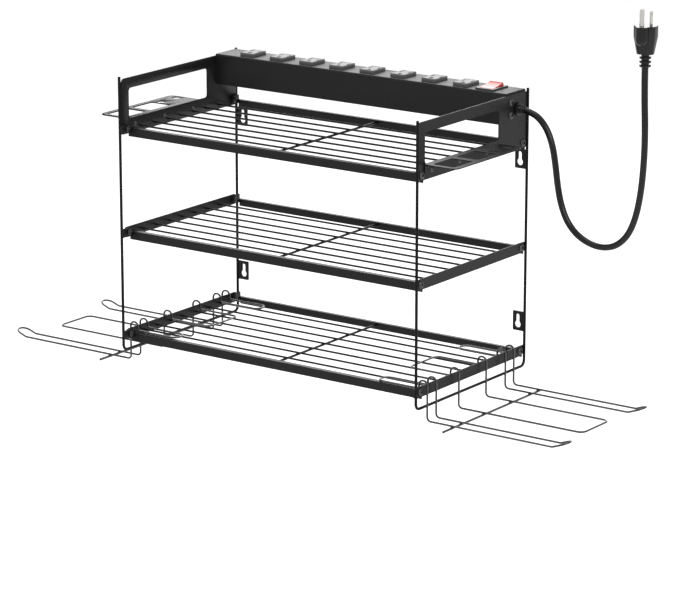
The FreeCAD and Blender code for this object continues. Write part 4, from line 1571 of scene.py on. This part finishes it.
    def plug_body(self, foot: Vector, top: float) -> Workpiece:
        """Moulded body that tapers to the rings, with a round rib under the ground pin.

        Args:
            foot: Centre of its lower end.
            top: Height of the face that carries the pins.

        Returns:
            The body, before it is turned.
        """
        half = Vector((self.plug_size[0] / 2, self.plug_size[1] / 2, 0))
        piece = Workpiece.block(foot - half, Vector((foot.x, foot.y, top)) + half)
        piece.split((0, 0, top - self.plug_straight), (0, 0, 1))
        factor = (self.plug_end[0] / self.plug_size[0], self.plug_end[1] / self.plug_size[1], 1)
        piece.scale_points(lambda co: near(co.z, foot.z), factor, foot)
        piece.round_edges(lambda a, b: abs(a.z - b.z) > 5, self.plug_corner, 7)
        radius, steps = self.plug_rib / 2, self.plug_rib_steps
        profile = [
            (radius * math.sin(angle), radius * (1 - math.cos(angle)))
            for angle in (math.pi / 2 * step / steps for step in range(steps + 1))]
        length = radius + self.plug_rib_length
        profile += [(radius, length), (0.0, length)]
        rib_foot = Vector((foot.x - self.pin_spread, foot.y, top - length))
        rib = Workpiece.turned(profile, rib_foot, AXES["z"], 40)
        return piece.add([rib]).soften(self.plug_edge, 3)

    def blades(self, root: Vector, top: float) -> Workpiece:
        """Flat blades with a hole and a narrowed tip.

        Args:
            root: Centre of the plug at the foot of its pins.
            top: Height of the blades' tips.

        Returns:
            Both blades, before they are turned.
        """
        width, thick = self.blade
        x = root.x
        made = []
        for side in (1, -1):
            y = root.y + side * self.blade_spacing / 2
            blade = Workpiece.block(
                (x - width / 2, y - thick / 2, root.z), (x + width / 2, y + thick / 2, top))
            blade.round_edges(edge_on({"z": top}, "y"), self.blade_corner, 5)
            hole_z = top - self.blade_hole_below_tip
            hole = Workpiece.peg(Vector((x, y - 2, hole_z)), Vector((x, y + 2, hole_z)), self.blade_hole, 28)
            made.append(blade.cut([hole]).soften(self.blade_edge))
        return made[0].join(made[1:])

    def ground_pin(self, root: Vector, top: float) -> Workpiece:
        """Round pin with a domed nose.

        Args:
            root: Centre of the plug at the foot of its pins.
            top: Height of its nose.

        Returns:
            The pin, before it is turned.
        """
        radius = self.ground_dia / 2
        length = top - root.z
        profile = [(0.0, 0.0), (radius, 0.0), (radius, length - radius)]
        profile += [
            (radius * math.cos(angle), length - radius + radius * math.sin(angle))
            for angle in (math.radians(step * 15) for step in range(1, 6))]
        profile.append((0.0, length))
        foot = Vector((root.x - self.pin_spread, root.y, root.z))
        return Workpiece.turned(profile, foot, AXES["z"]).smooth(40)

    def build(self) -> None:
        cord = self.cord()
        relief = self.strain_relief().release("ribbed_strain_relief", VINYL, ["cord_strain_relief"])
        rings = extent("plug_strain_relief")
        body = extent("plug_body")
        pins = extent("plug_blades")
        middle = Vector((rings.centre.x, rings.centre.y, 0))
        foot = Vector((middle.x, middle.y, rings.low.z))
        neck = Vector((middle.x, middle.y, body.low.z))
        root = Vector((middle.x, middle.y, pins.low.z))
        nose = extent("plug_ground_pin").high.z
        pieces = {
            "plug_rings": (self.plug_relief(foot), VINYL, "plug_strain_relief"),
            "plug_moulding": (self.plug_body(neck, body.high.z), VINYL, "plug_body"),
            "flat_blades": (self.blades(root, pins.high.z), NICKEL, "plug_blades"),
            "round_ground_pin": (self.ground_pin(root, nose), NICKEL, "plug_ground_pin"),
        }
        turn = Matrix.Rotation(math.radians(self.plug_turn), 4, "Z")
        for name, (piece, finish, node) in pieces.items():
            piece.obj.data.transform(Matrix.Translation(middle) @ turn @ Matrix.Translation(-middle))
            piece.release(name, finish, [node])


@dataclass
class HookRacks:
    """Hooks that hang over the bottom side bars, and the wire that joins them."""

    wire: float = 2.5
    cross_wire: float = 3.0
    wire_end: float = 0.4
    arch_width: float = 12.0
    side_gap: float = 4.0
    small_bend: float = 3.0
    leg_bend: float = 5.0
    tip_bend: float = 10.0
    wide_corner: float = 8.0
    tip_length: float = 19.0
    tip_rise: float = 20.0
    tail_rise: float = 1.55
    bead: tuple[tuple[float, float], ...] = (
        (0.0, -0.8), (1.0, -0.7), (1.55, -0.35), (1.8, 0.0), (1.55, 0.35), (1.0, 0.7), (0.0, 0.8))

    def hook(self, place: str) -> Workpiece:
        """One hook of the right rack.

        Args:
            place: Which hook: front, middle or rear.

        Returns:
            The hook.
        """
        box = extent(f"right_rack_{place}_hook")
        half = self.wire / 2
        narrow = place != "middle"
        first, last = box.low.y + half, box.high.y - half
        corner = (last - first) / 2 - NEAR if narrow else self.wide_corner
        tail_z = extent("bottom_shelf_front_rail").high.z + self.tail_rise
        outer = extent("bottom_shelf_right_bar").high.x + self.side_gap + half
        inner = outer - self.arch_width
        arch = self.arch_width / 2 - NEAR
        top, prong = box.high.z - half, box.low.z + half
        side = [
            (box.low.x + half, tail_z, corner), (inner, tail_z, self.small_bend), (inner, top, arch),
            (outer, top, arch), (outer, prong, self.leg_bend)]
        if narrow:
            rise = math.radians(self.tip_rise)
            turn_x = self.turn_x()
            side.append((turn_x, prong, self.tip_bend))
            side.append((
                turn_x + self.tip_length * math.cos(rise), prong + self.tip_length * math.sin(rise), corner))
        else:
            side.append((box.high.x - half, prong, corner))
        there = [Vector((x, first, z)) for x, z, radius in side]
        back = [Vector((x, last, z)) for x, z, radius in reversed(side)]
        radii = [radius for x, z, radius in side]
        return Workpiece.wire(there + back, radii + radii[::-1], self.wire, closed=True, sides=6).smooth(50)

    def turn_x(self) -> float:
        """Where the prongs turn up, at the end of the flat middle hook."""
        return extent("right_rack_middle_hook").high.x - self.wire / 2

    def cross(self) -> Workpiece:
        """Wire under the prongs with rounded ends."""
        box = extent("right_rack_cross_wire")
        half = self.cross_wire / 2
        front, rear, end = box.low.y, box.high.y, self.wire_end
        stations = [(front, half - end), (front + end, half), (rear - end, half), (rear, half - end)]
        return Workpiece.sweep(
            [Vector((box.centre.x, y, box.centre.z)) for y, radius in stations],
            [radius for y, radius in stations], 6).smooth(50)

    def beads(self) -> Workpiece:
        """Squeezed weld where each prong crosses the cross wire."""
        cross = extent("right_rack_cross_wire")
        made = []
        for place in ("front", "middle", "rear"):
            box = extent(f"right_rack_{place}_hook")
            for y in (box.low.y + self.wire / 2, box.high.y - self.wire / 2):
                place_on_wire = Vector((cross.centre.x, y, cross.high.z))
                made.append(Workpiece.turned(self.bead, place_on_wire, AXES["z"], 18))
        return made[0].join(made[1:]).smooth(60)

    def build(self) -> None:
        """Make both racks."""
        shift = extent("left_rack_front_hook").low - extent("right_rack_front_hook").low
        back = (0, shift.y, 0)
        racks = (Body.RIGHT_RACK, Body.LEFT_RACK)
        for place in ("front", "middle", "rear"):
            self.hook(place).release_pair(f"{place}_hook", HOOK_COAT, f"rack_{place}_hook", racks, back)
        cross, welds = self.cross(), self.beads()
        cross.release_pair("cross_wire", HOOK_COAT, "rack_cross_wire", racks, back)
        welds.release_pair("rack_welds", HOOK_COAT, bodies=racks, shift=back)


@dataclass(frozen=True)
class Lamp:
    """Square soft lamp: its place and side in metres and its power in watts."""

    name: str
    place: tuple[float, float, float]
    power: float
    size: float


@dataclass
class Studio:
    """Camera, lamps, backdrop and floor."""

    camera_place: tuple[float, float, float] = (2.34942, -3.35522, 0.99628)
    camera_pitch: float = 0.26226
    camera_yaw: float = 0.6226
    lens: float = 178.81
    sensor: float = 36.0
    sight: float = 60.0
    floor_height: float = -0.62
    floor_size: float = 14.0
    floor_tone: float = 0.82
    floor_glow: float = 0.64
    world_level: float = 0.5
    lamp_aim: tuple[float, float, float] = (0.05, -0.1, 0.05)
    lamps: tuple[Lamp, ...] = (
        Lamp("key", (3.0, -1.2, 1.8), 50.0, 1.8),
        Lamp("fill", (-1.8, -3.0, 1.6), 18.0, 1.8),
        Lamp("top", (0.0, -0.3, 3.0), 20.0, 1.8),
        Lamp("back", (-1.6, 2.6, 1.6), 40.0, 2.0),
    )

    def camera(self) -> None:
        """Camera at the picture's viewing angle."""
        data = bpy.data.cameras.new("view")
        data.lens = self.lens
        data.sensor_width = self.sensor
        data.clip_end = self.sight
        camera = put("view", data)
        camera.location = self.camera_place
        camera.rotation_euler = (math.pi / 2 - self.camera_pitch, 0.0, self.camera_yaw)
        bpy.context.scene.camera = camera

    def hang(self, lamp: Lamp) -> None:
        """Put up a lamp that points at the rack."""
        data = bpy.data.lights.new(lamp.name, "AREA")
        data.energy = lamp.power
        data.size = lamp.size
        obj = put(lamp.name, data)
        obj.location = lamp.place
        aim = Vector(self.lamp_aim) - Vector(lamp.place)
        obj.rotation_euler = aim.to_track_quat("-Z", "Y").to_euler()

    def backdrop(self) -> None:
        """World that is white to the camera and softer as a light."""
        world = bpy.data.worlds.new("studio")
        world.use_nodes = True
        bpy.context.scene.world = world
        tree = world.node_tree
        tree.nodes.clear()
        path = tree.nodes.new("ShaderNodeLightPath")
        seen = (
            Signal(tree, path.outputs["Is Camera Ray"]) + Signal(tree, path.outputs["Is Glossy Ray"])
            + Signal(tree, path.outputs["Is Transmission Ray"]))
        seen = seen.least(1.0)
        sky = tree.nodes.new("ShaderNodeBackground")
        feed(tree, sky.inputs["Strength"], self.world_level + (1 - self.world_level) * seen)
        output = tree.nodes.new("ShaderNodeOutputWorld")
        tree.links.new(sky.outputs["Background"], output.inputs["Surface"])

    def floor(self) -> None:
        """Plain pale floor below the rack."""
        clear_selection()
        bpy.ops.mesh.primitive_plane_add(size=self.floor_size, location=(0, 0, self.floor_height))
        floor = bpy.context.object
        floor.name = "studio_floor"
        recipe = Recipe("pale_floor")
        path = recipe.node("ShaderNodeLightPath", {}, {})
        to_camera, to_gloss = (
            Signal(recipe.tree, path.outputs[ray]) for ray in ("Is Camera Ray", "Is Glossy Ray"))
        recipe.dress({
            "Base Color": (self.floor_tone, self.floor_tone, self.floor_tone, 1), "Roughness": 0.9,
            "Specular IOR Level": 0.0, "Emission Color": (1, 1, 1, 1),
            "Emission Strength": self.floor_glow * (to_camera + to_gloss)})
        floor.data.materials.append(recipe.material)

    def build(self) -> None:
        """Set up the whole studio."""
        bpy.context.scene.view_settings.view_transform = "Standard"
        self.camera()
        self.backdrop()
        self.floor()
        for lamp in self.lamps:
            self.hang(lamp)


def main() -> None:
    """Build the studio and every sub-assembly."""
    logging.basicConfig(level=logging.INFO, format="%(message)s")
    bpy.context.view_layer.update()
    Studio().build()
    assemblies = (
        CordAndPlug(), SideFrames(), Fasteners(), Shelves(), SidePlates(), ToolHolders(), WallTabs(),
        PowerStrip(), HookRacks())
    for assembly in assemblies:
        log.info("building %s", type(assembly).__name__)
        assembly.build()


if __name__ == "__main__":
    main()
